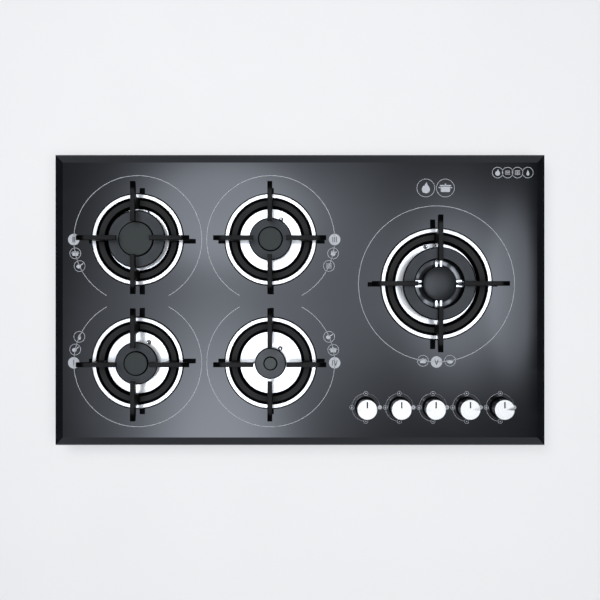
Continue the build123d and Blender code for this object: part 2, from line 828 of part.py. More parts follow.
def gas_pipes():
    """One pipe from each tap to its burner, in lanes that pass each other without touching."""
    inner_r = pipe_r - pipe_wall
    starts = [(x, pipe_start_y, pipe_z) for x in tap_xs]
    ends = [burner.feed_point() for burner in (front_left, rear_left, rear_middle, front_middle, wok)]
    front_lane_y = middle_lane_y - pipe_lane_pitch
    rear_lane_y = middle_lane_y + pipe_lane_pitch
    rear_lane_x = tap_xs[1] + pipe_lane_pitch
    jog_y = pipe_start_y + jog_lane_gap
    low_y = pipe_start_y + low_lane_gap
    low_z = pipe_z - low_pipe_step
    rise_x = ends[3][0] + low_pipe_rise_gap
    routes = [
        [(tap_xs[0], front_lane_y, pipe_z), (ends[0][0], front_lane_y, pipe_z)],
        [(tap_xs[1], middle_lane_y, pipe_z), (ends[1][0], middle_lane_y, pipe_z)],
        [(tap_xs[2], jog_y, pipe_z), (rear_lane_x, jog_y, pipe_z),
         (rear_lane_x, rear_lane_y, pipe_z), (ends[2][0], rear_lane_y, pipe_z)],
        [(tap_xs[3], low_y, pipe_z), (tap_xs[3], low_y, low_z), (rise_x, low_y, low_z),
         (rise_x, ends[3][1], low_z), (rise_x, ends[3][1], pipe_z)],
        [(tap_xs[4], ends[4][1], pipe_z)],
    ]
    return [tube([start] + route + [end], pipe_r, inner_r, pipe_bend_r)
            for start, route, end in zip(starts, routes, ends)]


def gas_inlet():
    """An elbow block on the recess ceiling, with a threaded nipple pointing down and its nut."""
    seat = box_floor + inlet_recess_rise + box_sheet
    nut_top = box_floor + inlet_recess_rise
    nut_bottom = nut_top - inlet_nut_height
    thread_end = nut_bottom - inlet_thread_length
    body = block(inlet_block, inlet_block, seat, seat + inlet_block_height, inlet_block_corner_r)
    body += disc(inlet_thread_r, thread_end, seat)
    body += hexagon(inlet_nut_r, nut_bottom, nut_top)
    bore_r = manifold_r - manifold_wall
    body -= disc(bore_r, thread_end, -manifold_drop)
    body -= Pos(0, 0, -manifold_drop) * rod_along_y(bore_r, -inlet_block / 2, 0)
    return Pos(inlet_x, inlet_y, 0) * body


# Clamps, module and gland

def clamp_strip(x, y):
    """A flat strip that turns about its screw, with an upturned tip to bite the worktop."""
    bottom = box_floor + clamp_above_floor
    top = bottom + clamp_sheet
    half = clamp_width / 2
    strip = disc(half, bottom, top)
    strip += Pos(clamp_reach / 2, 0, 0) * block(clamp_reach, clamp_width, bottom, top)
    tip = block(clamp_sheet, clamp_width, bottom, top + clamp_tip_rise)
    strip += Pos(clamp_reach - clamp_sheet / 2, 0, 0) * tip
    strip -= disc(clamp_screw_r + running_clearance, bottom, top)
    return Pos(x, y, 0) * strip


def clamp_screw(x, y):
    seat = box_floor + clamp_above_floor
    top = box_floor + clamp_recess_rise + box_sheet + clamp_nut_height
    body = disc(clamp_screw_head_r, seat - clamp_screw_head, seat)
    body += disc(clamp_screw_r, seat, top)
    slot_bottom = seat - clamp_screw_head
    slot = block(3 * clamp_screw_head_r, clamp_screw_slot, slot_bottom, slot_bottom + clamp_screw_slot)
    return Pos(x, y, 0) * (body - slot)


def ignition_module():
    """A moulded spark generator on the box floor, with a row of lead terminals."""
    top = box_inner_floor + module_height
    body = block(module_length, module_width, box_inner_floor, top, module_rounding)
    body = fillet(body.edges().group_by(Axis.Z)[-1], module_rounding / 2)
    for index in range(len(burners)):
        x = (index - (len(burners) - 1) / 2) * module_terminal_pitch
        y = -module_width / 4
        body += Pos(x, y, 0) * disc(module_terminal_r, top, top + module_terminal_height)
    return Pos(module_x, module_y, 0) * body


def cable_gland():
    wall_outer = box_depth / 2
    wall_inner = wall_outer - box_sheet
    gland = rod_along_y(gland_flange_r, wall_outer, wall_outer + gland_flange)
    gland += rod_along_y(gland_r, wall_inner - gland_inside, wall_outer)
    gland += rod_along_y(gland_flange_r, wall_inner - gland_flange, wall_inner)
    gland -= rod_along_y(gland_bore_r, wall_inner - gland_inside, wall_outer + gland_flange)
    return Pos(gland_x, 0, -gland_drop) * gland


# Every piece in its own file

save("glass_top", glass_plate())
save("worktop_seal", worktop_seal())
save("underbox", underbox())
save("burner_rails", *burner_rails())
for burner in burners:
    save(f"drip_dish_{burner.name}", drip_dish(burner))
    save(f"burner_cup_{burner.name}", burner_cup(burner))
    save(f"pan_support_{burner.name}", pan_support(burner))
for burner in small_burners:
    save(f"flame_ring_{burner.name}", flame_ring(burner))
    save(f"burner_cap_{burner.name}", burner_cap(burner, disc_radii[burner.name]))
wok_castings = [wok_base()] + wok_flame_rings() + wok_bridges()
save("flame_ring_wok", *[wok.place(casting) for casting in wok_castings])
save("burner_cap_wok_crown", wok_crown_cap())
save("burner_cap_wok_centre", wok_centre_cap())
save("injectors", *[injector(burner) for burner in burners])
save("spark_electrodes", *[spark_electrode(burner) for burner in burners])
save("thermocouples", *[thermocouple(burner) for burner in burners])
save("tap_bodies", *[tap_body(x) for x in tap_xs])
save("knob_seals", *[knob_seal(x) for x in tap_xs])
for number, x in enumerate(tap_xs, 1):
    save(f"tap_plug_{number}", tap_plug(x))
    save(f"tap_spindle_{number}", spindle(x))
    save(f"knob_{number}", knob(x))
save("gas_manifold", gas_manifold())
save("gas_pipes", *gas_pipes())
save("gas_inlet", gas_inlet())
for name, (x, y, side) in clamp_places().items():
    save(f"clamp_{name}", clamp_strip(x, y))
save("clamp_screws", *[clamp_screw(x, y) for x, y, side in clamp_places().values()])
save("ignition_module", ignition_module())
save("cable_gland", cable_gland())
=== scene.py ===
"""Gas cooktop: finishes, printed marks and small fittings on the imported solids. Metres, +Z up."""
import bmesh
import bpy
import json
from math import cos, pi, radians, sin
from mathutils import Matrix, Vector


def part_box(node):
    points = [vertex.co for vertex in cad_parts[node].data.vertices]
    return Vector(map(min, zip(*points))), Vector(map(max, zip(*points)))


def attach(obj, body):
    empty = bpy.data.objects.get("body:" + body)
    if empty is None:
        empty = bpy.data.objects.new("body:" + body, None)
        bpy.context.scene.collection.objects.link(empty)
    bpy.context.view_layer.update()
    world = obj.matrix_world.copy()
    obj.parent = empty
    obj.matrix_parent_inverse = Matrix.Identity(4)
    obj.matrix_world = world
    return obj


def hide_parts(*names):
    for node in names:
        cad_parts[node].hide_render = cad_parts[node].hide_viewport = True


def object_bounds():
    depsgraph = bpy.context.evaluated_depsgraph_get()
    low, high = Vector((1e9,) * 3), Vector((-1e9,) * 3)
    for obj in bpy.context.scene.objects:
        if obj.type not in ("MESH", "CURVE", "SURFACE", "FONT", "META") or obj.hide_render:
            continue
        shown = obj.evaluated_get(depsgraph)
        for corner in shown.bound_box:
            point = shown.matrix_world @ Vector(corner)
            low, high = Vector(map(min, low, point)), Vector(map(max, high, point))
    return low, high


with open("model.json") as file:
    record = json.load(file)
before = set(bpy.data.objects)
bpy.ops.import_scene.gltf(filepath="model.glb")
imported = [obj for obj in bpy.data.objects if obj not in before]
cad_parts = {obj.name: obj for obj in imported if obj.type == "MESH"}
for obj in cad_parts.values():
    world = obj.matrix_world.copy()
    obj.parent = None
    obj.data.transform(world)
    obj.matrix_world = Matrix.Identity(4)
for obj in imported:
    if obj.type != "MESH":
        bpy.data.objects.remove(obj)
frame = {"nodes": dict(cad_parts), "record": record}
cad_low, cad_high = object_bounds()
nodes = frame["nodes"]

# The camera stands straight above the middle of the glass, and the picture is as wide as this at the glass
CAMERA_ABOVE_GLASS = 1.250
PICTURE_WIDTH = 1.052
SENSOR_WIDTH = 36.0

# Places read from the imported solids
glass_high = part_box("glass_top")[1]
GLASS = glass_high.z
BURNERS = ["rear_left", "rear_middle", "front_left", "front_middle", "wok"]
SMALL_BURNERS = BURNERS[:4]
TAPS = range(1, 6)


def middle_of(node):
    low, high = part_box(node)
    return (low + high) / 2


def half_width_of(node):
    low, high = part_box(node)
    return (high.x - low.x) / 2


# Shader maths

class Number:
    """A number that varies over a surface. Arithmetic on it adds Math nodes."""

    def __init__(self, finish, socket):
        self.finish = finish
        self.socket = socket

    def math(self, operation, *numbers):
        made = self.finish.node("ShaderNodeMath", {"operation": operation}, dict(enumerate(numbers)))
        return Number(self.finish, made.outputs[0])

    def __add__(self, other):
        return self.math("ADD", self, other)

    def __radd__(self, other):
        return self.math("ADD", other, self)

    def __sub__(self, other):
        return self.math("SUBTRACT", self, other)

    def __rsub__(self, other):
        return self.math("SUBTRACT", other, self)

    def __mul__(self, other):
        return self.math("MULTIPLY", self, other)

    def __rmul__(self, other):
        return self.math("MULTIPLY", other, self)

    def __truediv__(self, other):
        return self.math("DIVIDE", self, other)

    def __rtruediv__(self, other):
        return self.math("DIVIDE", other, self)

    def __pow__(self, other):
        return self.math("POWER", self, other)

    def __gt__(self, other):
        return self.math("GREATER_THAN", self, other)

    def __lt__(self, other):
        return self.math("LESS_THAN", self, other)

    def __abs__(self):
        return self.math("ABSOLUTE", self)

    def between(self, low, high, start=0.0, end=1.0):
        """Runs from start to end as this number goes from low to high, and stays within them."""
        settings = {"interpolation_type": "SMOOTHSTEP"}
        inputs = {"Value": self, "From Min": low, "From Max": high, "To Min": start, "To Max": end}
        made = self.finish.node("ShaderNodeMapRange", settings, inputs)
        return Number(self.finish, made.outputs[0])


class Finish:
    """The nodes of one material, or of the world."""

    def __init__(self, tree):
        self.tree = tree
        self.tree.nodes.clear()

    def feed(self, socket, value):
        if isinstance(value, Number):
            value = value.socket
        if isinstance(value, bpy.types.NodeSocket):
            self.tree.links.new(value, socket)
        else:
            socket.default_value = value

    def node(self, kind, settings=None, inputs=None):
        """A node of that type, with its settings made first and then its sockets fed."""
        made = self.tree.nodes.new(kind)
        for name, value in (settings or {}).items():
            setattr(made, name, value)
        for socket, value in (inputs or {}).items():
            self.feed(made.inputs[socket], value)
        return made

    def place(self, centre=(0, 0, 0), stretch=(1, 1, 1)):
        """The point on the object, measured from a centre."""
        point = self.node("ShaderNodeTexCoord").outputs["Object"]
        away = self.node("ShaderNodeVectorMath", {"operation": "SUBTRACT"}, {0: point, 1: tuple(centre)})
        return self.node("ShaderNodeMapping", None, {"Vector": away.outputs[0], "Scale": stretch}).outputs[0]

    def split(self, vector):
        made = self.node("ShaderNodeSeparateXYZ", None, {0: vector})
        return [Number(self, socket) for socket in made.outputs]

    def noise(self, vector, scale, detail=2.0, roughness=0.5):
        inputs = {"Vector": vector, "Scale": scale, "Detail": detail, "Roughness": roughness}
        return Number(self, self.node("ShaderNodeTexNoise", None, inputs).outputs[0])

    def lines(self, number, scale, detail=2.0):
        """Noise along one number, such as a radius or an angle."""
        settings = {"noise_dimensions": "1D"}
        inputs = {"W": number, "Scale": scale, "Detail": detail}
        return Number(self, self.node("ShaderNodeTexNoise", settings, inputs).outputs[0])

    def cells(self, vector, scale):
        """A flat random shade for each cell."""
        made = self.node("ShaderNodeTexVoronoi", None, {"Vector": vector, "Scale": scale})
        return self.split(made.outputs["Color"])[0]

    def blend(self, share, first, second):
        inputs = {0: share, 6: first, 7: second}
        return self.node("ShaderNodeMix", {"data_type": "RGBA"}, inputs).outputs[2]

    def bump(self, height, depth, strength=1.0):
        inputs = {"Height": height, "Distance": depth, "Strength": strength}
        return self.node("ShaderNodeBump", None, inputs).outputs[0]

    def surface(self, **sockets):
        inputs = {name.replace("_", " "): value for name, value in sockets.items()}
        shader = self.node("ShaderNodeBsdfPrincipled", None, inputs)
        self.node("ShaderNodeOutputMaterial", None, {"Surface": shader.outputs[0]})


def grey(level, warmth=0.0):
    return (level * (1 + warmth), level, level * (1 - warmth), 1.0)


def material(name):
    made = bpy.data.materials.new(name)
    made.use_nodes = True
    return made, Finish(made.node_tree)


# Finishes

# A painted highlight: a lighter strip of colour along the glass's front and rear edges
ARRIS_HIGHLIGHT_WIDTH = 0.0016
ARRIS_HIGHLIGHT_FADE = 0.0005


def black_glass():
    """Back-painted tempered glass: a clean dark mirror with faint wiping marks,
    and a painted highlight along its front and rear edges.
    """
    made, finish = material("black_glass")
    point = finish.place(stretch=(1, 3, 1))
    wiped = finish.noise(point, 9, 3)
    specks = finish.noise(finish.place(), 900, 1)
    along = abs(finish.split(finish.place())[1])
    # Painted highlight: the strip along the front and rear edges is coloured lighter
    arris_highlight = along.between(glass_high.y - ARRIS_HIGHLIGHT_WIDTH - ARRIS_HIGHLIGHT_FADE, glass_high.y - ARRIS_HIGHLIGHT_WIDTH)
    clean = finish.blend(wiped.between(0.4, 0.8), (0.0026, 0.0028, 0.0034, 1), (0.0042, 0.0045, 0.0052, 1))
    finish.surface(
        Base_Color=finish.blend(arris_highlight, clean, grey(0.030)),
        Roughness=wiped.between(0.45, 0.8, 0.015, 0.05) + specks.between(0.62, 0.8, 0, 0.03),
        IOR=1.52)
    return made


def seal_foam():
    made, finish = material("seal_foam")
    pores = finish.noise(finish.place(), 1400, 3)
    finish.surface(
        Base_Color=finish.blend(pores, grey(0.018), grey(0.042)),
        Roughness=pores.between(0.3, 0.7, 0.8, 0.95),
        Normal=finish.bump(pores, 0.0004))
    return made


def box_steel():
    """Galvanised sheet with its crystal pattern."""
    made, finish = material("box_steel")
    point = finish.place()
    crystals = finish.cells(point, 150)
    fine = finish.noise(point, 600, 3)
    finish.surface(
        Base_Color=finish.blend(crystals, (0.44, 0.45, 0.46, 1), (0.60, 0.61, 0.62, 1)),
        Metallic=1.0,
        Roughness=crystals.between(0, 1, 0.32, 0.5) + fine.between(0.4, 0.8, 0, 0.08),
        Normal=finish.bump(fine, 0.00005))
    return made


# A dish's bright rim, and how far from its basin's edge the painted shade in its groove starts and ends
TRIM_WIDTH = 0.0063
BASIN_SHADE_START = (0.0058, 0.0046)
BASIN_SHADE_END = (0.0001, 0.0005)


def polished_steel(name, centre, basin_r):
    """Spun and polished stainless steel with turning lines, and painted shade in black in the groove inside
    its rim.
    """
    made, finish = material(name)
    x, y = finish.split(finish.place(centre))[:2]
    radius = (x * x + y * y) ** 0.5
    turning = finish.lines(radius, 2600, 3)
    handling = finish.noise(finish.place(), 24, 3)
    # Painted shade: the groove between the support's ring and the rim is coloured black
    groove = radius.between(basin_r - BASIN_SHADE_START[0], basin_r - BASIN_SHADE_START[1])
    groove = groove * radius.between(basin_r + BASIN_SHADE_END[0], basin_r + BASIN_SHADE_END[1], 1, 0)
    tint = finish.blend(handling.between(0.3, 0.75), (0.95, 0.95, 0.945, 1), (0.87, 0.875, 0.88, 1))
    finish.surface(
        Base_Color=finish.blend(groove, tint, grey(0.005)),
        Metallic=groove.between(0, 1, 0.52, 1.0),
        Roughness=turning.between(0.3, 0.7, 0.16, 0.26) + handling.between(0.4, 0.8, 0, 0.06) + groove * 0.3,
        Normal=finish.bump(turning, 0.000006))
    return made


def cast_aluminium():
    made, finish = material("cast_aluminium")
    skin = finish.noise(finish.place(), 900, 4)
    clouds = finish.noise(finish.place(), 40, 2)
    finish.surface(
        Base_Color=finish.blend(clouds, grey(0.50), grey(0.66)),
        Metallic=0.9,
        Roughness=skin.between(0.3, 0.7, 0.45, 0.62),
        Normal=finish.bump(skin, 0.0002))
    return made


# How far black enamel leans towards blue, and how soft the border of a painted shade at an edge is
COOL = -0.07
EDGE_SHADE_FADE = 0.0003


def enamel(name, level, spread, roughness, grain, gloss, centre=(0, 0, 0), edges=(), disc_r=0.0):
    """Fired enamel on iron: an even dark coat with a fine sand grain, painted shade near the listed radii,
    and greener within the raised disc."""
    made, finish = material(name)
    point = finish.place()
    sand = finish.noise(point, 1500, 3)
    clouds = finish.noise(point, 30, 2)
    shade = finish.blend(clouds.between(0.3, 0.7), grey(level - spread, COOL), grey(level + spread, COOL))
    edge_shade = 0.0
    # Painted shade: a black band at each listed pair of radii, such as a cap's rim and the groove round its
    # disc
    if edges:
        x, y = finish.split(finish.place(centre))[:2]
        radius = (x * x + y * y) ** 0.5
        middle = radius.between(disc_r, disc_r + EDGE_SHADE_FADE, 1, 0)
        shade = finish.blend(middle, shade, (level * 0.80, level * 0.90, level * 0.88, 1))
        for low, high in edges:
            near = radius.between(low - EDGE_SHADE_FADE, low) * radius.between(high, high + EDGE_SHADE_FADE, 1, 0)
            shade = finish.blend(near, shade, grey(0.004))
            edge_shade = near + edge_shade
    finish.surface(
        Base_Color=shade,
        Metallic=edge_shade,
        Roughness=sand.between(0.3, 0.7, roughness - 0.06, roughness + 0.06),
        Specular_IOR_Level=gloss,
        Normal=finish.bump(sand, grain))
    return made


# A pan support's ring: its inner radius, where its bevel ends and its rim starts from there,
# and the level of its top
SMALL_RING_R = 0.0540
WOK_RING_R = 0.0713
RING_BEVEL = 0.0050
RING_WIDTH = 0.0142
RING_TOP = (0.0115, 0.0125)
# How far from a finger's end its black tip starts
FINGER_TIP = (0.0160, 0.0090)


def support_enamel(name, centre, bevel_end, rim_start, reach):
    """Fired enamel on cast iron, with painted shade in black on steep faces and on its ring's bevel and rim,
    black at the fingers' tips, and painted light that makes its ring's top lighter."""
    made, finish = material(name)
    point = finish.place()
    sand = finish.noise(point, 1500, 3)
    clouds = finish.noise(point, 30, 2)
    x, y, z = finish.split(finish.place((centre.x, centre.y, 0)))
    radius = (x * x + y * y) ** 0.5
    normal = finish.split(finish.node("ShaderNodeNewGeometry").outputs["Normal"])[2]
    # Painted shade: steep faces are coloured black
    upright_shade = abs(normal).between(0.45, 0.75, 1, 0)
    ring = z.between(*RING_TOP, 1, 0)
    edge = radius.between(bevel_end, bevel_end + 0.0008, 1, 0) + radius.between(rim_start, rim_start + 0.0006)
    shade = finish.blend(clouds.between(0.3, 0.7), grey(0.0125), grey(0.0165))
    # Painted light: the ring's top is coloured lighter than the fingers
    shade = finish.blend(ring, shade, grey(0.0225))
    tip = radius.between(reach - FINGER_TIP[0], reach - FINGER_TIP[1])
    # Painted shade in black on steep faces and on the ring's bevel and rim, and black at the fingers' tips
    black = upright_shade.math("MAXIMUM", upright_shade, ring * edge)
    black = black.math("MAXIMUM", black, tip)
    shade = finish.blend(black, shade, grey(0.0025))
    finish.surface(
        Base_Color=shade,
        Metallic=black,
        Roughness=sand.between(0.3, 0.7, 0.42, 0.54),
        Specular_IOR_Level=0.05,
        Normal=finish.bump(sand, 0.00006))
    return made


# The wok burner's casting: the painted highlight on the trough's slope, and the bridges' bright tops by width
# and level
SLOPE_HIGHLIGHT_START = (0.0330, 0.0350)
SLOPE_HIGHLIGHT_END = (0.0400, 0.0412)
BRIDGE_START = (0.0020, 0.0026)
BRIDGE_END = (0.0050, 0.0060)
BRIDGE_TOP = (0.0288, 0.0296)


def wok_casting(centre):
    """Machined light alloy: bright on top of the bridges, with painted shade that darkens it in the trough
    and on the edges, and a painted highlight along the trough's slope.
    """
    made, finish = material("wok_casting")
    x, y, z = finish.split(finish.place((centre.x, centre.y, 0)))
    aside = x.math("MINIMUM", abs(x), abs(y))
    radius = (x * x + y * y) ** 0.5
    lathe = finish.lines(radius, 2400, 2)
    clouds = finish.noise(finish.place(), 60, 3)
    # Painted highlight: a lighter band along the trough's slope, broken up round the burner
    streak = finish.lines(x.math("ARCTAN2", y, x), 1.1, 1).between(0.44, 0.60, 0.12, 1)
    slope = radius.between(*SLOPE_HIGHLIGHT_START) * radius.between(*SLOPE_HIGHLIGHT_END, 1, 0) * streak
    # Painted shade: everywhere but a bridge's bright top is coloured near black
    dark = finish.blend(clouds, grey(0.012), grey(0.030))
    trough = finish.blend(slope, dark, grey(0.36))
    # A bridge keeps its bright colour only in a band each side of its middle; its middle and edges take the
    # painted shade
    bright = aside.between(*BRIDGE_START) * aside.between(*BRIDGE_END, 1, 0) * z.between(*BRIDGE_TOP)
    finish.surface(
        Base_Color=finish.blend(bright, trough, (0.86, 0.85, 0.84, 1)),
        Metallic=1.0,
        Roughness=lathe.between(0.3, 0.7, 0.14, 0.26) + (1 - bright) * 0.18,
        Normal=finish.bump(lathe, 0.00001))
    return made


# The levels between which the small flame rings turn sooty
SOOTY_LEVELS = (0.0292, 0.0262)


def flame_ring_metal():
    """Machined light alloy, browned by heat towards the flame ports."""
    made, finish = material("flame_ring_metal")
    point = finish.place()
    z = finish.split(point)[2]
    lathe = finish.lines(z, 2400, 2)
    clouds = finish.noise(point, 60, 3)
    sooty = z.between(*SOOTY_LEVELS) * clouds.between(0.2, 0.7, 0.75, 1)
    finish.surface(
        Base_Color=finish.blend(sooty, (0.86, 0.85, 0.84, 1), (0.075, 0.072, 0.070, 1)),
        Metallic=1.0,
        Roughness=lathe.between(0.3, 0.7, 0.14, 0.26) + sooty * 0.18,
        Normal=finish.bump(lathe, 0.00002))
    return made


def plain_metal(name, dark, light, roughness):
    """Drawn, forged or plated metal with a fine grain and a slight tarnish."""
    made, finish = material(name)
    point = finish.place()
    grain = finish.noise(point, 1200, 3)
    tarnish = finish.noise(point, 37.5, 3)
    finish.surface(
        Base_Color=finish.blend(tarnish.between(0.3, 0.7), dark, light),
        Metallic=1.0,
        Roughness=grain.between(0.3, 0.7, roughness - 0.07, roughness + 0.07),
        Normal=finish.bump(grain, 0.00003))
    return made


def plain_moulding(name, dark, light, roughness, grain=0.00008, gloss=0.5):
    """Rubber, plastic, paint or ceramic with a fine surface grain."""
    made, finish = material(name)
    point = finish.place()
    fine = finish.noise(point, 1100, 2)
    clouds = finish.noise(point, 70, 2)
    finish.surface(
        Base_Color=finish.blend(clouds, dark, light),
        Roughness=fine.between(0.3, 0.7, roughness - 0.06, roughness + 0.06),
        Specular_IOR_Level=gloss,
        Normal=finish.bump(fine, grain))
    return made


# Where an electrode's ceramic ends, and how far below that it turns dark
ELECTRODE_SHOULDER = 0.0131
ELECTRODE_DARKENING = (0.0060, 0.0035)


def electrode_ceramic(shoulder):
    """Glazed ceramic body, dark towards its shoulder, and a bare steel tip above it."""
    made, finish = material("electrode_ceramic")
    point = finish.place()
    z = finish.split(point)[2]
    tip = z > shoulder
    soot = finish.noise(point, 500, 3)
    clean = finish.blend(soot, grey(0.78, 0.03), grey(0.62, 0.05))
    # The ceramic turns near black in a band just below its shoulder
    darker_band = z.between(shoulder - ELECTRODE_DARKENING[0], shoulder - ELECTRODE_DARKENING[1])
    finish.surface(
        Base_Color=finish.blend(tip, finish.blend(darker_band, clean, grey(0.012)), grey(0.72, 0.02)),
        Metallic=tip,
        Roughness=soot.between(0.3, 0.7, 0.18, 0.34))
    return made


# How far below a knob's top its brushed face begins
BRUSHED_FACE = (0.0012, 0.0004)

# How dark the painted reflection is to the right and to the left on each knob's top
KNOB_PAINTED_SHEEN = {1: (0.10, 0.14), 2: (0.08, 0.10), 3: (0.04, 0.12), 4: (0.30, 0.03), 5: (0.80, 0.0)}


def knob_metal(name, centre, top, right_sheen, left_sheen):
    """Bright metal: the flat top is brushed outwards from its centre, with a painted dark reflection to
    either side, and a painted reflection round its flank, dark with bright stripes.
    """
    made, finish = material(name)
    x, y, z = finish.split(finish.place(centre))
    angle = x.math("ARCTAN2", y, x)
    radius = (x * x + y * y) ** 0.5
    streaks = finish.lines(angle, 34, 4)
    rings = finish.lines(radius, 3000, 2)
    upper = z.between(top - BRUSHED_FACE[0], top - BRUSHED_FACE[1])
    outwards = radius.between(0.001, 0.010)
    # Painted reflection: a dark wedge to either side of the top's centre
    right = angle.between(-0.16, 0.02) * angle.between(0.02, 0.48, 1, 0) * right_sheen
    opposite = x.math("ARCTAN2", y, 0 - x)
    left = opposite.between(-0.34, -0.06) * opposite.between(-0.06, 0.22, 1, 0)
    painted_sheen = (right + left * left_sheen) * outwards
    shade = finish.blend(streaks.between(0.3, 0.7), (0.83, 0.825, 0.805, 1), (0.76, 0.755, 0.74, 1))
    shade = finish.blend(painted_sheen, shade, (0.03, 0.03, 0.03, 1))
    # Painted reflection round the flank: dark, with bright stripes as highlights
    painted_glints = finish.lines(angle, 5.5, 1).between(0.50, 0.64, 0.10, 0.75)
    side = finish.blend(painted_glints, grey(0.02), grey(0.85))
    finish.surface(
        Base_Color=finish.blend(upper, side, shade),
        Metallic=upper.between(0, 1, 1.0, 0.3),
        Roughness=upper * rings.between(0.3, 0.7, 0.16, 0.26) + 0.10,
        Normal=finish.bump(upper * streaks, 0.00001))
    return made


def printing_ink():
    """Light grey screen print with a slightly uneven edge to its cover."""
    made, finish = material("printing_ink")
    cover = finish.noise(finish.place(), 2200, 2)
    finish.surface(
        Base_Color=finish.blend(cover, (0.34, 0.35, 0.37, 1), (0.44, 0.45, 0.47, 1)),
        Roughness=cover.between(0.3, 0.7, 0.4, 0.55))
    return made


def finishes_by_slot():
    return {
        "black_glass": black_glass(),
        "seal_foam": seal_foam(),
        "box_steel": box_steel(),
        "cast_aluminium": cast_aluminium(),
        "flame_ring_metal": flame_ring_metal(),
        "cap_enamel": enamel("cap_enamel", CAP_LEVEL, 0.004, *CAP_COAT),
        "brass": plain_metal("brass", (0.60, 0.45, 0.20, 1), (0.75, 0.60, 0.31, 1), 0.32),
        "white_ceramic": electrode_ceramic(ELECTRODE_SHOULDER),
        "probe_metal": plain_metal("probe_metal", (0.34, 0.30, 0.27, 1), (0.52, 0.50, 0.48, 1), 0.3),
        "tap_brass": plain_metal("tap_brass", (0.55, 0.43, 0.22, 1), (0.70, 0.57, 0.33, 1), 0.42),
        "black_rubber": plain_moulding("black_rubber", grey(0.0012), grey(0.0025), 0.7, gloss=0.06),
        "spindle_steel": plain_metal("spindle_steel", grey(0.50), grey(0.66), 0.25),
        "manifold_steel": plain_metal("manifold_steel", grey(0.42), grey(0.56), 0.38),
        "pipe_aluminium": plain_metal("pipe_aluminium", grey(0.62), grey(0.76), 0.3),
        "clamp_steel": plain_metal("clamp_steel", (0.52, 0.53, 0.50, 1), (0.66, 0.66, 0.62, 1), 0.35),
        "module_plastic": plain_moulding("module_plastic", grey(0.66, 0.02), grey(0.76, 0.02), 0.5),
        "gland_plastic": plain_moulding("gland_plastic", grey(0.02), grey(0.035), 0.5),
    }


def cover(node, finish):
    slots = nodes[node].data.materials
    if not slots:
        slots.append(finish)
    for index in range(len(slots)):
        slots[index] = finish


def cover_all_nodes(by_slot):
    for part in frame["record"]["subparts"]:
        slot = part["material_slot"]
        if slot in by_slot:
            cover(part["node"], by_slot[slot])
    for name in BURNERS:
        dish, support = f"drip_dish_{name}", f"pan_support_{name}"
        centre = middle_of(dish)
        basin_r = half_width_of(dish) - TRIM_WIDTH
        cover(dish, polished_steel(f"polished_steel_{name}", centre, basin_r))
        ring_r = WOK_RING_R if name == "wok" else SMALL_RING_R
        bevel_end, rim_start, reach = ring_r + RING_BEVEL, ring_r + RING_WIDTH, half_width_of(support)
        cover(support, support_enamel(f"support_enamel_{name}", centre, bevel_end, rim_start, reach))
    cover("flame_ring_wok", wok_casting(middle_of("drip_dish_wok")))
    for number in TAPS:
        node = f"knob_{number}"
        middle = middle_of(node)
        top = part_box(node)[1].z - middle.z
        cover(node, knob_metal(f"knob_metal_{number}", middle, top, *KNOB_PAINTED_SHEEN[number]))


# Meshes

def make_piece(name, mesh, finish, body, replaced=()):
    """Puts a finished mesh in the scene, on its body."""
    piece = bpy.data.objects.new(name, mesh)
    bpy.context.scene.collection.objects.link(piece)
    mesh.materials.clear()
    mesh.materials.append(finish)
    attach(piece, body)
    if replaced:
        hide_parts(*replaced)
    return piece


def mesh_from(name, build, smooth=False):
    """A mesh filled by build(bm), with its normals pointing outwards."""
    shape = bmesh.new()
    build(shape)
    bmesh.ops.remove_doubles(shape, verts=shape.verts, dist=1e-7)
    bmesh.ops.recalc_face_normals(shape, faces=shape.faces)
    mesh = bpy.data.meshes.new(name)
    shape.to_mesh(mesh)
    shape.free()
    for polygon in mesh.polygons:
        polygon.use_smooth = smooth
    return mesh


def add_prism(shape, outline, bottom, top):
    """A closed outline of (x, y) points pulled up between two levels."""
    low = [shape.verts.new((x, y, bottom)) for x, y in outline]
    high = [shape.verts.new((x, y, top)) for x, y in outline]
    shape.faces.new(low[::-1])
    shape.faces.new(high)
    for index in range(len(outline)):
        after = (index + 1) % len(outline)
        shape.faces.new((low[index], low[after], high[after], high[index]))


def add_turned(shape, profile, centre, steps):
    """A closed profile of (radius, height) points turned about a vertical axis."""
    rows = []
    for radius, height in profile:
        if radius < 1e-9:
            rows.append([shape.verts.new((centre[0], centre[1], height))])
            continue
        rows.append([shape.verts.new((centre[0] + radius * cos(2 * pi * step / steps),
                                      centre[1] + radius * sin(2 * pi * step / steps), height))
                     for step in range(steps)])
    for row, after in zip(rows, rows[1:] + rows[:1]):
        for step in range(steps):
            turn = (step + 1) % steps
            corners = [row[step % len(row)], row[turn % len(row)],
                       after[turn % len(after)], after[step % len(after)]]
            corners = list(dict.fromkeys(corners))
            if len(corners) > 2:
                shape.faces.new(corners)


def circle_points(centre, radius, steps=32, squash=1.0):
    return [(centre[0] + radius * cos(2 * pi * step / steps),
             centre[1] + squash * radius * sin(2 * pi * step / steps)) for step in range(steps)]


def stroke_points(start, end, width):
    """The four corners of a straight stroke."""
    along = Vector((end[0] - start[0], end[1] - start[1]))
    side = Vector((-along.y, along.x)).normalized() * width / 2
    a, b = Vector(start), Vector(end)
    return [tuple(a - side), tuple(b - side), tuple(b + side), tuple(a + side)]


# Printed marks on the glass

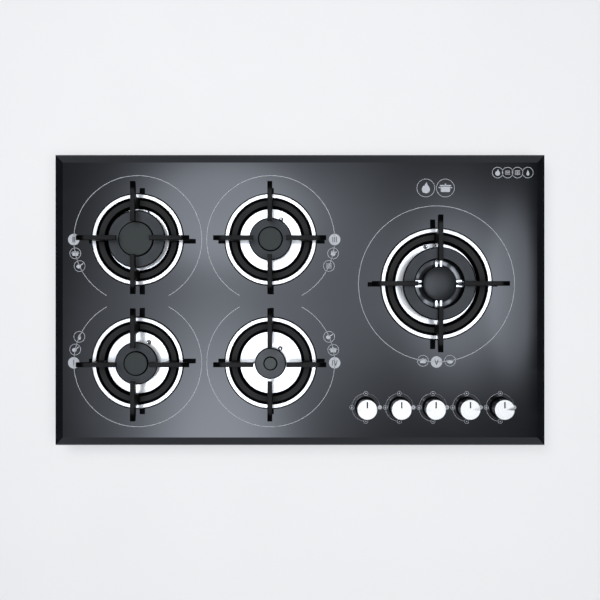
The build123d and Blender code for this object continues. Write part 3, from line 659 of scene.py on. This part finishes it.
PRINT_BOTTOM = GLASS
PRINT_TOP = GLASS + 0.00006
GLYPH_TOP = GLASS + 0.00012
PRINT_MIDDLE = (PRINT_BOTTOM + PRINT_TOP) / 2
PRINT_HEIGHT = PRINT_TOP - PRINT_BOTTOM
ZONE_LINE = 0.0010
ICON_LINE = 0.0009
ZONE_DISC_R = 0.0100
SMALL_ZONE_R = 0.1121
WOK_ZONE_R = 0.1368
ZONE_NUMBER_SIZE = 0.0095

# Round each knob: an arc and a row of dashes, by start and sweep in degrees, with small round marks on them
DIAL_R = 0.0245
DIAL_LINE = 0.0005
DIAL_ARC = (99, 162)
DIAL_DASHES = (12, 66)
DIAL_DASH_COUNT = 14
DIAL_DASH_LENGTH = 0.0008
DIAL_MARK_R = 0.0037
DIAL_MARK_LINE = 0.0006
DIAL_NUMBER_SIZE = 0.0040
FULL_FLAME_SIZE = 0.0034
LOW_FLAME_SIZE = 0.0020
OFF_DOT_R = 0.0011

# The symbols in two rows at the rear right, each with its place across the glass
LARGE_ICON_R = 0.0157
LARGE_ICON_Y = 0.1964
LARGE_ICONS = ((0.2206, "flame"), (0.2550, "pot"))
SMALL_ICON_R = 0.0098
SMALL_ICON_Y = 0.2234
SMALL_ICONS = ((0.3465, "flame"), (0.3639, "waves"), (0.3813, "grill"), (0.3995, "drop"))


def new_tree(name, sizes):
    """A geometry node tree with one named input for each size, and its one mesh output."""
    tree = bpy.data.node_groups.new(name, "GeometryNodeTree")
    interface = tree.interface
    for size, default in sizes.items():
        kind = "NodeSocketInt" if isinstance(default, int) else "NodeSocketFloat"
        interface.new_socket(size, in_out="INPUT", socket_type=kind).default_value = default
    interface.new_socket("Material", in_out="INPUT", socket_type="NodeSocketMaterial")
    interface.new_socket("Mesh", in_out="OUTPUT", socket_type="NodeSocketGeometry")
    return tree


class Shape(Finish):
    """The nodes of one geometry tree."""

    def __init__(self, tree):
        super().__init__(tree)
        self.inputs = self.node("NodeGroupInput").outputs

    def size(self, name):
        return Number(self, self.inputs[name])

    def close(self, geometry):
        """Ends the tree: instances made real, and the material set."""
        real = self.node("GeometryNodeRealizeInstances", None, {0: geometry}).outputs[0]
        inputs = {"Geometry": real, "Material": self.inputs["Material"]}
        dressed = self.node("GeometryNodeSetMaterial", None, inputs).outputs[0]
        self.node("NodeGroupOutput", None, {0: dressed})


def grown(name, tree, sizes, finish):
    """The plain mesh that a tree makes with these sizes."""
    holder = bpy.data.objects.new(name, bpy.data.meshes.new(name))
    bpy.context.scene.collection.objects.link(holder)
    modifier = holder.modifiers.new(name, "NODES")
    modifier.node_group = tree
    for item in tree.interface.items_tree:
        if item.in_out == "INPUT" and item.name in sizes:
            modifier[item.identifier] = sizes[item.name]
        if item.in_out == "INPUT" and item.name == "Material":
            modifier[item.identifier] = finish
    depsgraph = bpy.context.evaluated_depsgraph_get()
    mesh = bpy.data.meshes.new_from_object(holder.evaluated_get(depsgraph))
    holder.modifiers.clear()
    bpy.data.objects.remove(holder)
    return mesh


def arc_tree():
    """A flat printed line along part of a circle."""
    tree = new_tree("printed_arc", {"Radius": 0.1, "Start": 0.0, "Sweep": 6.28, "Width": 0.001,
                                    "Height": 0.0001, "Steps": 96})
    shape = Shape(tree)
    inputs = {"Radius": shape.size("Radius"), "Start Angle": shape.size("Start"),
              "Sweep Angle": shape.size("Sweep"), "Resolution": shape.size("Steps")}
    arc = shape.node("GeometryNodeCurveArc", {"mode": "RADIUS"}, inputs).outputs[0]
    inputs = {"Width": shape.size("Width"), "Height": shape.size("Height")}
    section = shape.node("GeometryNodeCurvePrimitiveQuadrilateral", {"mode": "RECTANGLE"}, inputs).outputs[0]
    line = shape.node("GeometryNodeCurveToMesh", None,
                      {"Curve": arc, "Profile Curve": section, "Fill Caps": True}).outputs[0]
    shape.close(line)
    return tree


def dash_tree():
    """Short dashes set along part of a circle."""
    tree = new_tree("printed_dashes", {"Radius": 0.02, "Start": 0.0, "Sweep": 1.5, "Count": 12,
                                       "Length": 0.001, "Width": 0.0004, "Height": 0.0001})
    shape = Shape(tree)
    inputs = {"Radius": shape.size("Radius"), "Start Angle": shape.size("Start"),
              "Sweep Angle": shape.size("Sweep"), "Resolution": 64}
    arc = shape.node("GeometryNodeCurveArc", {"mode": "RADIUS"}, inputs).outputs[0]
    points = shape.node("GeometryNodeCurveToPoints", {"mode": "COUNT"},
                        {"Curve": arc, "Count": shape.size("Count")})
    size = shape.node("ShaderNodeCombineXYZ", None, {0: shape.size("Width"), 1: shape.size("Height"),
                                                     2: shape.size("Length")}).outputs[0]
    dash = shape.node("GeometryNodeMeshCube", None, {"Size": size}).outputs[0]
    inputs = {"Points": points.outputs[0], "Instance": dash, "Rotation": points.outputs["Rotation"]}
    placed = shape.node("GeometryNodeInstanceOnPoints", None, inputs)
    shape.close(placed.outputs[0])
    return tree


def moved_into(shape, mesh, place):
    """Adds a mesh to a growing shape, shifted to its place, and drops the mesh."""
    mesh.transform(Matrix.Translation(place))
    shape.from_mesh(mesh)
    bpy.data.meshes.remove(mesh)


def printed_arc(shape, tree, finish, centre, radius, start, sweep, width, steps):
    sizes = {"Radius": radius, "Start": radians(start), "Sweep": radians(sweep), "Width": width,
             "Height": PRINT_HEIGHT, "Steps": steps}
    moved_into(shape, grown("arc", tree, sizes, finish), (centre[0], centre[1], PRINT_MIDDLE))


def on_circle(centre, radius, angle):
    return centre[0] + radius * cos(radians(angle)), centre[1] + radius * sin(radians(angle))


# Each zone's circle starts at the first angle and sweeps through the second, in degrees. Its number and two
# symbols stand on it at the angles given with them.
ZONES = {
    "rear_left": {"arc": (-61, 302), "number": (180, 2), "symbols": ((192.5, "pot"), (204.5, "skillet"))},
    "rear_middle": {"arc": (-61, 302), "number": (0, 3), "symbols": ((-12.5, "kettle"), (-24.4, "grill"))},
    "front_left": {"arc": (119, 302), "number": (180, 1), "symbols": ((168, "skillet"), (156, "drop"))},
    "front_middle": {"arc": (119, 302), "number": (0, 4), "symbols": ((11.7, "pot"), (24, "skillet"))},
    "wok": {"arc": (-90, 360), "number": (270, 5), "symbols": ((260, "pot"), (280, "bowl"))},
}


def icon_strokes(kind, size):
    """A generic kitchen symbol as a list of outlines, about its own centre."""
    s = size
    if kind == "pot":
        return [[(-0.50 * s, -0.45 * s), (0.50 * s, -0.45 * s), (0.56 * s, 0.15 * s), (-0.56 * s, 0.15 * s)],
                stroke_points((-0.62 * s, 0.27 * s), (0.62 * s, 0.27 * s), 0.12 * s),
                stroke_points((0, 0.27 * s), (0, 0.48 * s), 0.16 * s),
                stroke_points((-0.76 * s, 0.05 * s), (-0.5 * s, 0.05 * s), 0.12 * s),
                stroke_points((0.5 * s, 0.05 * s), (0.76 * s, 0.05 * s), 0.12 * s)]
    if kind == "skillet":
        return [circle_points((-0.16 * s, -0.08 * s), 0.42 * s, 20, 0.86),
                stroke_points((0.18 * s, 0.14 * s), (0.66 * s, 0.46 * s), 0.16 * s)]
    if kind == "kettle":
        return [circle_points((0, -0.12 * s), 0.42 * s, 20, 0.85),
                stroke_points((0.3 * s, 0.0), (0.66 * s, 0.34 * s), 0.14 * s),
                stroke_points((-0.3 * s, 0.42 * s), (0.3 * s, 0.42 * s), 0.1 * s),
                stroke_points((-0.3 * s, 0.42 * s), (-0.34 * s, 0.14 * s), 0.1 * s),
                stroke_points((0.3 * s, 0.42 * s), (0.34 * s, 0.14 * s), 0.1 * s)]
    if kind == "grill":
        rows = [stroke_points((-0.5 * s, y * s), (0.5 * s, y * s), 0.1 * s)
                for y in (-0.36, -0.12, 0.12, 0.36)]
        return rows + [stroke_points((0, -0.5 * s), (0, 0.5 * s), 0.1 * s)]
    if kind == "bowl":
        lower = [(0.6 * s * cos(radians(a)), -0.02 * s + 0.5 * s * sin(radians(a)))
                 for a in range(180, 361, 15)]
        return [lower, stroke_points((-0.66 * s, 0.08 * s), (0.66 * s, 0.08 * s), 0.1 * s)]
    if kind == "flame":
        return [flame_points(s)]
    if kind == "drop":
        return [[(0.42 * s * sin(radians(a)) * (0.5 - 0.5 * cos(radians(a))),
                  0.55 * s * cos(radians(a))) for a in range(0, 360, 15)]]
    # What is left is three rows of waves
    return [stroke_points((-0.45 * s + 0.18 * s * i, (y + 0.09 * (-1) ** i) * s),
                          (-0.27 * s + 0.18 * s * i, (y - 0.09 * (-1) ** i) * s), 0.1 * s)
            for y in (-0.28, 0.0, 0.28) for i in range(5)]


def flame_points(size):
    """The outline of a flame: round below, drawn up to a tip that leans a little."""
    right = [(0.0, -0.60), (0.26, -0.54), (0.44, -0.34), (0.46, -0.08), (0.34, 0.16), (0.20, 0.34),
             (0.10, 0.66)]
    left = [(-0.10, 0.36), (-0.18, 0.20), (-0.26, 0.28), (-0.42, 0.02), (-0.46, -0.22), (-0.34, -0.48)]
    return [(x * size, y * size) for x, y in right + left]


ROMAN = {1: "I", 2: "II", 3: "III", 4: "IV", 5: "V"}
ROMAN_WIDTHS = {"I": 0.34, "V": 0.8}


def numeral_strokes(number, size):
    """Roman numeral strokes, about their own centre."""
    letters = ROMAN[number]
    cursor = -sum(ROMAN_WIDTHS[letter] for letter in letters) / 2
    width = 0.14 * size
    strokes = []
    for letter in letters:
        middle = (cursor + ROMAN_WIDTHS[letter] / 2) * size
        foot = (middle, -0.5 * size)
        if letter == "I":
            strokes.append(stroke_points(foot, (middle, 0.5 * size), width))
        else:
            for side in (-0.32, 0.32):
                strokes.append(stroke_points((middle + side * size, 0.5 * size), foot, width))
        cursor += ROMAN_WIDTHS[letter]
    return strokes


def add_marks(shape, outlines, centre, bottom, top):
    for outline in outlines:
        add_prism(shape, [(centre[0] + x, centre[1] + y) for x, y in outline], bottom, top)


def printed_marks(ink, dark):
    arcs = arc_tree()
    dashes = dash_tree()
    light = bmesh.new()
    glyphs = bmesh.new()

    def printed(outlines, spot):
        add_marks(light, outlines, spot, PRINT_BOTTOM, PRINT_TOP)

    def numbered(number, size, spot):
        add_marks(glyphs, numeral_strokes(number, size), spot, PRINT_TOP, GLYPH_TOP)

    def outlined(spot, radius, kind):
        printed_arc(light, arcs, ink, spot, radius, 0, 360, ICON_LINE, 48)
        printed(icon_strokes(kind, radius), spot)

    for name, zone in ZONES.items():
        centre = middle_of(f"drip_dish_{name}")
        radius = WOK_ZONE_R if name == "wok" else SMALL_ZONE_R
        printed_arc(light, arcs, ink, centre, radius, *zone["arc"], ZONE_LINE, 128)
        angle, number = zone["number"]
        spot = on_circle(centre, radius, angle)
        printed([circle_points((0, 0), ZONE_DISC_R, 40)], spot)
        numbered(number, ZONE_NUMBER_SIZE, spot)
        for angle, kind in zone["symbols"]:
            outlined(on_circle(centre, radius, angle), ZONE_DISC_R - ICON_LINE / 2, kind)
    for x, kind in LARGE_ICONS:
        outlined((x, LARGE_ICON_Y), LARGE_ICON_R, kind)
    for x, kind in SMALL_ICONS:
        outlined((x, SMALL_ICON_Y), SMALL_ICON_R - ICON_LINE / 2, kind)
    for number in TAPS:
        centre = middle_of(f"knob_{number}")
        printed_arc(light, arcs, ink, centre, DIAL_R, *DIAL_ARC, DIAL_LINE, 48)
        for angle in (90, 180, 270):
            spot = on_circle(centre, DIAL_R, angle)
            printed_arc(light, arcs, ink, spot, DIAL_MARK_R, 0, 360, DIAL_MARK_LINE, 32)
        printed([flame_points(FULL_FLAME_SIZE)], on_circle(centre, DIAL_R, 180))
        printed([flame_points(LOW_FLAME_SIZE)], on_circle(centre, DIAL_R, 270))
        printed([circle_points((0, 0), OFF_DOT_R, 16)], on_circle(centre, DIAL_R, 90))
        spot = on_circle(centre, DIAL_R, 0)
        printed([circle_points((0, 0), DIAL_MARK_R, 32)], spot)
        numbered(number, DIAL_NUMBER_SIZE, spot)
        start, sweep = DIAL_DASHES
        sizes = {"Radius": DIAL_R, "Start": radians(start), "Sweep": radians(sweep), "Count": DIAL_DASH_COUNT,
                 "Length": DIAL_DASH_LENGTH, "Width": DIAL_LINE, "Height": PRINT_HEIGHT}
        moved_into(light, grown("dashes", dashes, sizes, ink), (centre.x, centre.y, PRINT_MIDDLE))
    for name, shape, finish in (("printed_marks", light, ink), ("printed_numbers", glyphs, dark)):
        mesh = bpy.data.meshes.new(name)
        bmesh.ops.recalc_face_normals(shape, faces=shape.faces)
        shape.to_mesh(mesh)
        shape.free()
        make_piece(name, mesh, finish, "hob")


# Turned pieces that stand for plain solids

KEY_DEPTH = 0.003
KEY_WALL = 0.002
KEY_INSET = 0.0068
RIM_HEIGHT = 0.0036
DOME_RISE = 0.0016
GROOVE_DEPTH = 0.0012
LID_DISC_R = {"rear_left": 0.0290, "rear_middle": 0.0197, "front_left": 0.0197, "front_middle": 0.0103}

# The caps' tone, their roughness, grain and gloss, and the width of the painted shade at their edges and
# grooves
CAP_LEVEL = 0.042
AUXILIARY_CAP_LEVEL = 0.078
CAP_COAT = (0.62, 0.00010, 0.3)
CAP_RIM_SHADE = 0.0017
DISC_GROOVE_SHADE = 0.0019


def lid_profile(low, top, radius, disc_r):
    """An enamelled lid: bead at the rim, gentle slope, pressed groove, raised disc, and a key below."""
    seat = low + KEY_DEPTH
    rim_top = seat + RIM_HEIGHT
    shoulder = rim_top + DOME_RISE
    key_r = radius - KEY_INSET
    slope = DOME_RISE / (radius - disc_r)

    def height(r):
        return rim_top + (radius - r) * slope

    floor = shoulder - GROOVE_DEPTH
    outer = disc_r + 0.0014
    return [
        (0, seat), (key_r - KEY_WALL, seat), (key_r - KEY_WALL, low), (key_r, low), (key_r, seat),
        (radius - 0.0006, seat), (radius, seat + 0.0006), (radius, rim_top - 0.0010),
        (radius - 0.0003, rim_top - 0.0003), (radius - 0.0010, rim_top),
        (radius - 0.0022, height(radius - 0.0022)), (outer + 0.0005, height(outer + 0.0005)),
        (outer, height(outer) - 0.0004), (outer - 0.0003, floor), (disc_r + 0.0003, floor),
        (disc_r, floor + 0.0004), (disc_r, top - 0.0009), (disc_r - 0.0003, top - 0.0003),
        (disc_r - 0.0009, top), (disc_r * 0.5, top), (0, top),
    ]


def turned_piece(name, profile, centre, finish, body, replaced=(), steps=128, crease=28):
    mesh = mesh_from(name, lambda shape: add_turned(shape, profile, centre, steps), smooth=True)
    piece = make_piece(name, mesh, finish, body, replaced)
    sharpen(piece, crease)
    return piece


def burner_lids():
    for name in SMALL_BURNERS:
        node = f"burner_cap_{name}"
        low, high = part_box(node)
        centre, radius, disc_r = (low + high) / 2, half_width_of(node), LID_DISC_R[name]
        level = AUXILIARY_CAP_LEVEL if name == "front_middle" else CAP_LEVEL
        # Painted shade in black at the cap's rim and in the groove round its raised disc
        edges = ((radius - CAP_RIM_SHADE, radius + 0.001), (disc_r - 0.0001, disc_r + DISC_GROOVE_SHADE))
        finish = enamel(f"cap_enamel_{name}", level, level * 0.1, *CAP_COAT, centre, edges, disc_r)
        turned_piece(f"{node}_lid", lid_profile(low.z, high.z, radius, disc_r), centre, finish,
                     f"cap_{name}", [node])


CROWN_THICKNESS = 0.0055
CROWN_INNER_R = 0.0418
CROWN_KEY_R = 0.0562
CENTRE_RISE = 0.006


def wok_lids():
    """The crown's flat ring with a bead at both edges, and the domed centre lid."""
    node = "burner_cap_wok_crown"
    low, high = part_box(node)
    centre, radius, top = (low + high) / 2, half_width_of(node), high.z
    seat = top - CROWN_THICKNESS
    inner = CROWN_INNER_R
    profile = [
        (inner + 0.0006, seat), (CROWN_KEY_R - KEY_WALL, seat), (CROWN_KEY_R - KEY_WALL, low.z),
        (CROWN_KEY_R, low.z), (CROWN_KEY_R, seat), (radius - 0.0006, seat), (radius, seat + 0.0006),
        (radius, top - 0.0016),
        (radius - 0.0004, top - 0.0007), (radius - 0.0012, top - 0.0003), (radius - 0.0030, top),
        (inner + 0.0030, top), (inner + 0.0012, top - 0.0003), (inner + 0.0004, top - 0.0007),
        (inner, top - 0.0016), (inner, seat + 0.0006),
    ]
    # Painted shade in black at the crown's outer and inner edges
    edges = ((radius - CAP_RIM_SHADE, radius + 0.001), (inner - 0.001, inner + CAP_RIM_SHADE))
    finish = enamel("cap_enamel_crown", CAP_LEVEL, 0.004, *CAP_COAT, centre, edges)
    turned_piece(f"{node}_lid", profile, centre, finish, "cap_wok_crown", [node], 160)
    node = "burner_cap_wok_centre"
    low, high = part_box(node)
    centre, radius, top = (low + high) / 2, half_width_of(node), high.z
    seat = top - CENTRE_RISE
    key_r = radius - KEY_INSET
    dome = [(radius * sin(radians(a)), top - 0.0042 * (1 - cos(radians(a)))) for a in range(78, 0, -6)]
    profile = [
        (0, seat), (key_r - KEY_WALL, seat), (key_r - KEY_WALL, low.z), (key_r, low.z), (key_r, seat),
        (radius - 0.0006, seat), (radius, seat + 0.0006), (radius, seat + 0.0012),
    ] + dome + [(0, top)]
    # Painted shade in black at the centre lid's rim
    edges = ((radius - 0.0008, radius + 0.001),)
    finish = enamel("cap_enamel_centre", 0.011, 0.002, 0.34, 0.00004, 0.5, centre, edges)
    turned_piece(f"{node}_lid", profile, centre, finish, "cap_wok_centre", [node], 128, 40)


def sharpen(piece, degrees):
    """Keeps edges sharper than this angle crisp on a smooth mesh."""
    shape = bmesh.new()
    shape.from_mesh(piece.data)
    for edge in shape.edges:
        if len(edge.link_faces) == 2 and edge.calc_face_angle(0) > radians(degrees):
            edge.smooth = False
    shape.to_mesh(piece.data)
    shape.free()


SHADOW_BEAD_WIDTH = 0.0020


def trim_shadow_beads(finish):
    """A thin black bead between each bright rim and the glass, put where the rim's shadow falls: painted
    shade.
    """
    for name in BURNERS:
        node = f"drip_dish_{name}"
        centre, inner = middle_of(node), half_width_of(node) + 0.00005
        outer = inner + SHADOW_BEAD_WIDTH
        # Painted shade: a black bead on the glass at the foot of the rim
        profile = [(inner, GLASS), (outer, GLASS), (outer - 0.0003, GLASS + 0.0005), (inner, GLASS + 0.0008)]
        turned_piece(f"trim_shadow_bead_{name}", profile, centre, finish, "hob", (), 160, 40)


# Washers on the dishes' floors: burner, distance and angle of the electrode from its middle, and radius
COLLARS = [("rear_middle", 0.0400, 63.0, 0.0041),
           ("front_left", 0.0400, 63.0, 0.0041),
           ("front_middle", 0.0300, 56.0, 0.0041),
           ("wok", 0.0675, 105.8, 0.0035),
           ("wok", 0.0675, 92.0, 0.0035)]
COLLAR_BORE_R = 0.0027
DISH_DEPTH = 0.007


def electrode_collars(finish):
    """A dark washer round each electrode, on the dish's floor."""
    for number, (name, distance, angle, radius) in enumerate(COLLARS, 1):
        x, y = on_circle(middle_of(f"drip_dish_{name}"), distance, angle)
        floor = GLASS - DISH_DEPTH + 0.0001
        profile = [(COLLAR_BORE_R, floor), (radius, floor), (radius, floor + 0.0006),
                   (radius - 0.0003, floor + 0.0009), (COLLAR_BORE_R, floor + 0.0009)]
        turned_piece(f"electrode_collar_{number}", profile, (x, y), finish, "hob", (), 32, 40)


# Pressed louvres and screws on the walls of the box below the glass
LOUVRE_SIZE = (0.0018, 0.0022, 0.0120)
LOUVRE_STEP = 0.0100
LOUVRE_COUNT = 9
LOUVRE_LEVEL = -0.0240
LOUVRE_GROUPS = (-0.150, 0.020)
SCREW_SIZE = (0.0032, 0.0018, 0.0032)
SCREW_STEP = 0.1240
SCREW_COUNT = 6
SCREW_LEVEL = -0.0080
BOX_FLANGE = 0.008
SHEET_SINK = 0.0009


def row_tree():
    """Rounded pressings set out in a straight row."""
    tree = new_tree("pressed_row", {"Count": 9, "Step X": 0.0, "Step Y": 0.01,
                                    "Size X": 0.002, "Size Y": 0.002, "Size Z": 0.01})
    shape = Shape(tree)
    inputs = {0: shape.size("Step X"), 1: shape.size("Step Y")}
    step = shape.node("ShaderNodeCombineXYZ", None, inputs).outputs[0]
    inputs = {0: shape.size("Size X"), 1: shape.size("Size Y"), 2: shape.size("Size Z")}
    size = shape.node("ShaderNodeCombineXYZ", None, inputs).outputs[0]
    inputs = {"Count": shape.size("Count"), "Offset": step}
    row = shape.node("GeometryNodeMeshLine", {"mode": "OFFSET"}, inputs).outputs[0]
    inputs = {"Segments": 16, "Rings": 10, "Radius": 1.0}
    ball = shape.node("GeometryNodeMeshUVSphere", None, inputs).outputs[0]
    pressing = shape.node("GeometryNodeTransform", None, {"Geometry": ball, "Scale": size}).outputs[0]
    placed = shape.node("GeometryNodeInstanceOnPoints", None, {"Points": row, "Instance": pressing})
    shape.close(placed.outputs[0])
    return tree


def box_fittings(finish, screw_finish):
    """Louvres on the two short walls and a row of screws on the two long ones."""
    tree = row_tree()
    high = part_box("underbox")[1]
    louvres = bmesh.new()
    screws = bmesh.new()
    for side in (-1, 1):
        wall = side * (high.x - BOX_FLANGE + SHEET_SINK)
        sizes = {"Count": LOUVRE_COUNT, "Step X": 0.0, "Step Y": LOUVRE_STEP,
                 "Size X": LOUVRE_SIZE[0], "Size Y": LOUVRE_SIZE[1], "Size Z": LOUVRE_SIZE[2]}
        for start in LOUVRE_GROUPS:
            moved_into(louvres, grown("louvres", tree, sizes, finish), (wall, start, LOUVRE_LEVEL))
        wall = side * (high.y - BOX_FLANGE + SHEET_SINK)
        sizes = {"Count": SCREW_COUNT, "Step X": SCREW_STEP, "Step Y": 0.0,
                 "Size X": SCREW_SIZE[0], "Size Y": SCREW_SIZE[1], "Size Z": SCREW_SIZE[2]}
        start = -SCREW_STEP * (SCREW_COUNT - 1) / 2
        moved_into(screws, grown("screws", tree, sizes, screw_finish), (start, wall, SCREW_LEVEL))
    for name, shape, look, slot in (("box_louvres", louvres, finish, "box_steel"),
                                    ("box_screws", screws, screw_finish, "clamp_steel")):
        mesh = bpy.data.meshes.new(name)
        shape.to_mesh(mesh)
        shape.free()
        for polygon in mesh.polygons:
            polygon.use_smooth = True
        make_piece(name, mesh, look, "hob")


# A pointer's ends from the knob's middle, its width, and its depths below the knob's top
POINTER_START = 0.0027
POINTER_END = 0.0135
POINTER_WIDTH = 0.0022
POINTER_BOTTOM = 0.00055
POINTER_TOP = 0.0001


def pointer_strips(finish):
    """Dark enamel filled into each knob's pointer pocket, just below its top."""
    for number in TAPS:
        low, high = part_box(f"knob_{number}")
        centre = (low + high) / 2
        start, end = (centre.x, centre.y + POINTER_START), (centre.x, centre.y + POINTER_END)
        corners = stroke_points(start, end, POINTER_WIDTH)
        bottom, top = high.z - POINTER_BOTTOM, high.z - POINTER_TOP
        mesh = mesh_from(f"pointer_{number}", lambda shape: add_prism(shape, corners, bottom, top))
        make_piece(f"pointer_{number}", mesh, finish, f"knob_{number}")


# Stage, light and camera

FLOOR_REACH = 6
FLOOR_THICKNESS = 0.01
FLOOR_BELOW = 0.0002


def pale_floor():
    made, finish = material("pale_floor")
    paths = finish.node("ShaderNodeLightPath").outputs
    seen = Number(finish, paths["Is Camera Ray"])
    seen = seen.math("MAXIMUM", seen, Number(finish, paths["Is Glossy Ray"]))
    grain = finish.noise(finish.place(), 6, 2)
    matt = finish.node("ShaderNodeBsdfDiffuse", None,
                       {"Color": finish.blend(grain, grey(0.72), grey(0.76))}).outputs[0]
    glow = finish.node("ShaderNodeEmission", None, {"Color": grey(0.86), "Strength": 1.0}).outputs[0]
    mixed = finish.node("ShaderNodeMixShader", None, {0: seen * 0.5, 1: matt, 2: glow}).outputs[0]
    finish.node("ShaderNodeOutputMaterial", None, {"Surface": mixed})
    top = cad_low.z - FLOOR_BELOW
    far = FLOOR_REACH
    corners = [(-far, -far), (far, -far), (far, far), (-far, far)]
    mesh = mesh_from("floor", lambda shape: add_prism(shape, corners, top - FLOOR_THICKNESS, top))
    floor = bpy.data.objects.new("floor", mesh)
    bpy.context.scene.collection.objects.link(floor)
    mesh.materials.append(made)


# Soft lights in a dark ceiling: place across and along, reach across and along, level, and how firm the
# edge is. Places are slopes: how far a light stands aside for each metre that it stands above.
SOFT_LIGHTS = {
    "front_left": (-0.113, -0.300, 0.098, 0.297, 6.48, 1.95),
    "rear_left": (-0.109, 0.123, 0.118, 0.079, 4.00, 2.83),
    "far_left": (-0.246, -0.081, 0.084, 0.158, 0.79, 2.47),
    "middle": (0.052, 0.030, 0.095, 0.165, 1.66, 1.96),
    "right": (0.219, 0.012, 0.077, 0.116, 3.66, 2.34),
    "far_right": (0.297, 0.014, 0.036, 0.115, 2.01, 3.64),
}

# Long faint lights before and behind, which the two long bevels mirror
STRIP_LEVEL = 0.62


def soft_light(across, along, place_x, place_y, reach_x, reach_y, level, edge):
    """Full at its centre, and half at its reach."""
    aside = (across - place_x) / reach_x
    ahead = (along - place_y) / reach_y
    return level / (1 + (aside * aside + ahead * ahead) ** edge)


def studio_world():
    """A dark ceiling with a few soft lights, and pale walls."""
    world = bpy.data.worlds.new("studio")
    world.use_nodes = True
    bpy.context.scene.world = world
    finish = Finish(world.node_tree)
    direction = finish.node("ShaderNodeTexCoord").outputs["Generated"]
    x, y, z = finish.split(direction)
    height = z.math("MAXIMUM", z, 0.05)
    across = x / height
    along = y / height
    ceiling = 0.0
    for light in SOFT_LIGHTS.values():
        ceiling = soft_light(across, along, *light) + ceiling
    ahead, aside = abs(along), abs(across)
    slant = ahead.between(0.215, 0.36, 1.0, 0.0) * across.between(0.314, 0.338, 1.0, 0.2)
    walls = z.between(0.62, 0.25, 0.08, 0.42)
    strips = ahead.between(0.70, 0.80) * ahead.between(1.10, 1.25, 1, 0) * aside.between(0.50, 0.62, 1, 0)
    light = ceiling * slant + walls + strips * STRIP_LEVEL
    paths = finish.node("ShaderNodeLightPath").outputs
    seen = Number(finish, paths["Is Camera Ray"])
    colour = finish.blend(seen, (0.86, 0.93, 1.06, 1), (1, 1, 1, 1))
    strength = light * (1 - seen) + seen * 0.93
    background = finish.node("ShaderNodeBackground", None, {"Color": colour, "Strength": strength})
    finish.node("ShaderNodeOutputWorld", None, {"Surface": background.outputs[0]})


def lamp(name, place, size, power):
    data = bpy.data.lights.new(name, "AREA")
    data.shape = "DISK"
    data.size = size
    data.energy = power
    piece = bpy.data.objects.new(name, data)
    piece.location = place
    piece.rotation_euler = (-Vector(place)).to_track_quat("-Z", "Y").to_euler()
    piece.visible_glossy = False
    bpy.context.scene.collection.objects.link(piece)


def studio_camera():
    data = bpy.data.cameras.new("camera")
    data.sensor_fit = "HORIZONTAL"
    data.sensor_width = SENSOR_WIDTH
    data.lens = SENSOR_WIDTH * CAMERA_ABOVE_GLASS / PICTURE_WIDTH
    data.clip_start = 0.01
    camera = bpy.data.objects.new("camera", data)
    camera.location = (0, 0, GLASS + CAMERA_ABOVE_GLASS)
    bpy.context.scene.collection.objects.link(camera)
    bpy.context.scene.camera = camera


by_slot = finishes_by_slot()
cover_all_nodes(by_slot)
printed_marks(printing_ink(), plain_moulding("dark_ink", grey(0.03), grey(0.05), 0.5, 0.00001))
burner_lids()
wok_lids()
trim_shadow_beads(by_slot["black_rubber"])
electrode_collars(by_slot["black_rubber"])
pointer_strips(by_slot["black_rubber"])
box_fittings(by_slot["box_steel"], by_slot["clamp_steel"])
pale_floor()
studio_world()
lamp("lamp_left", (-0.5, 0.55, 2.0), 1.0, 26)
lamp("lamp_right", (0.55, -0.25, 2.0), 1.0, 18)
studio_camera()
bpy.context.scene.view_settings.view_transform = "Standard"
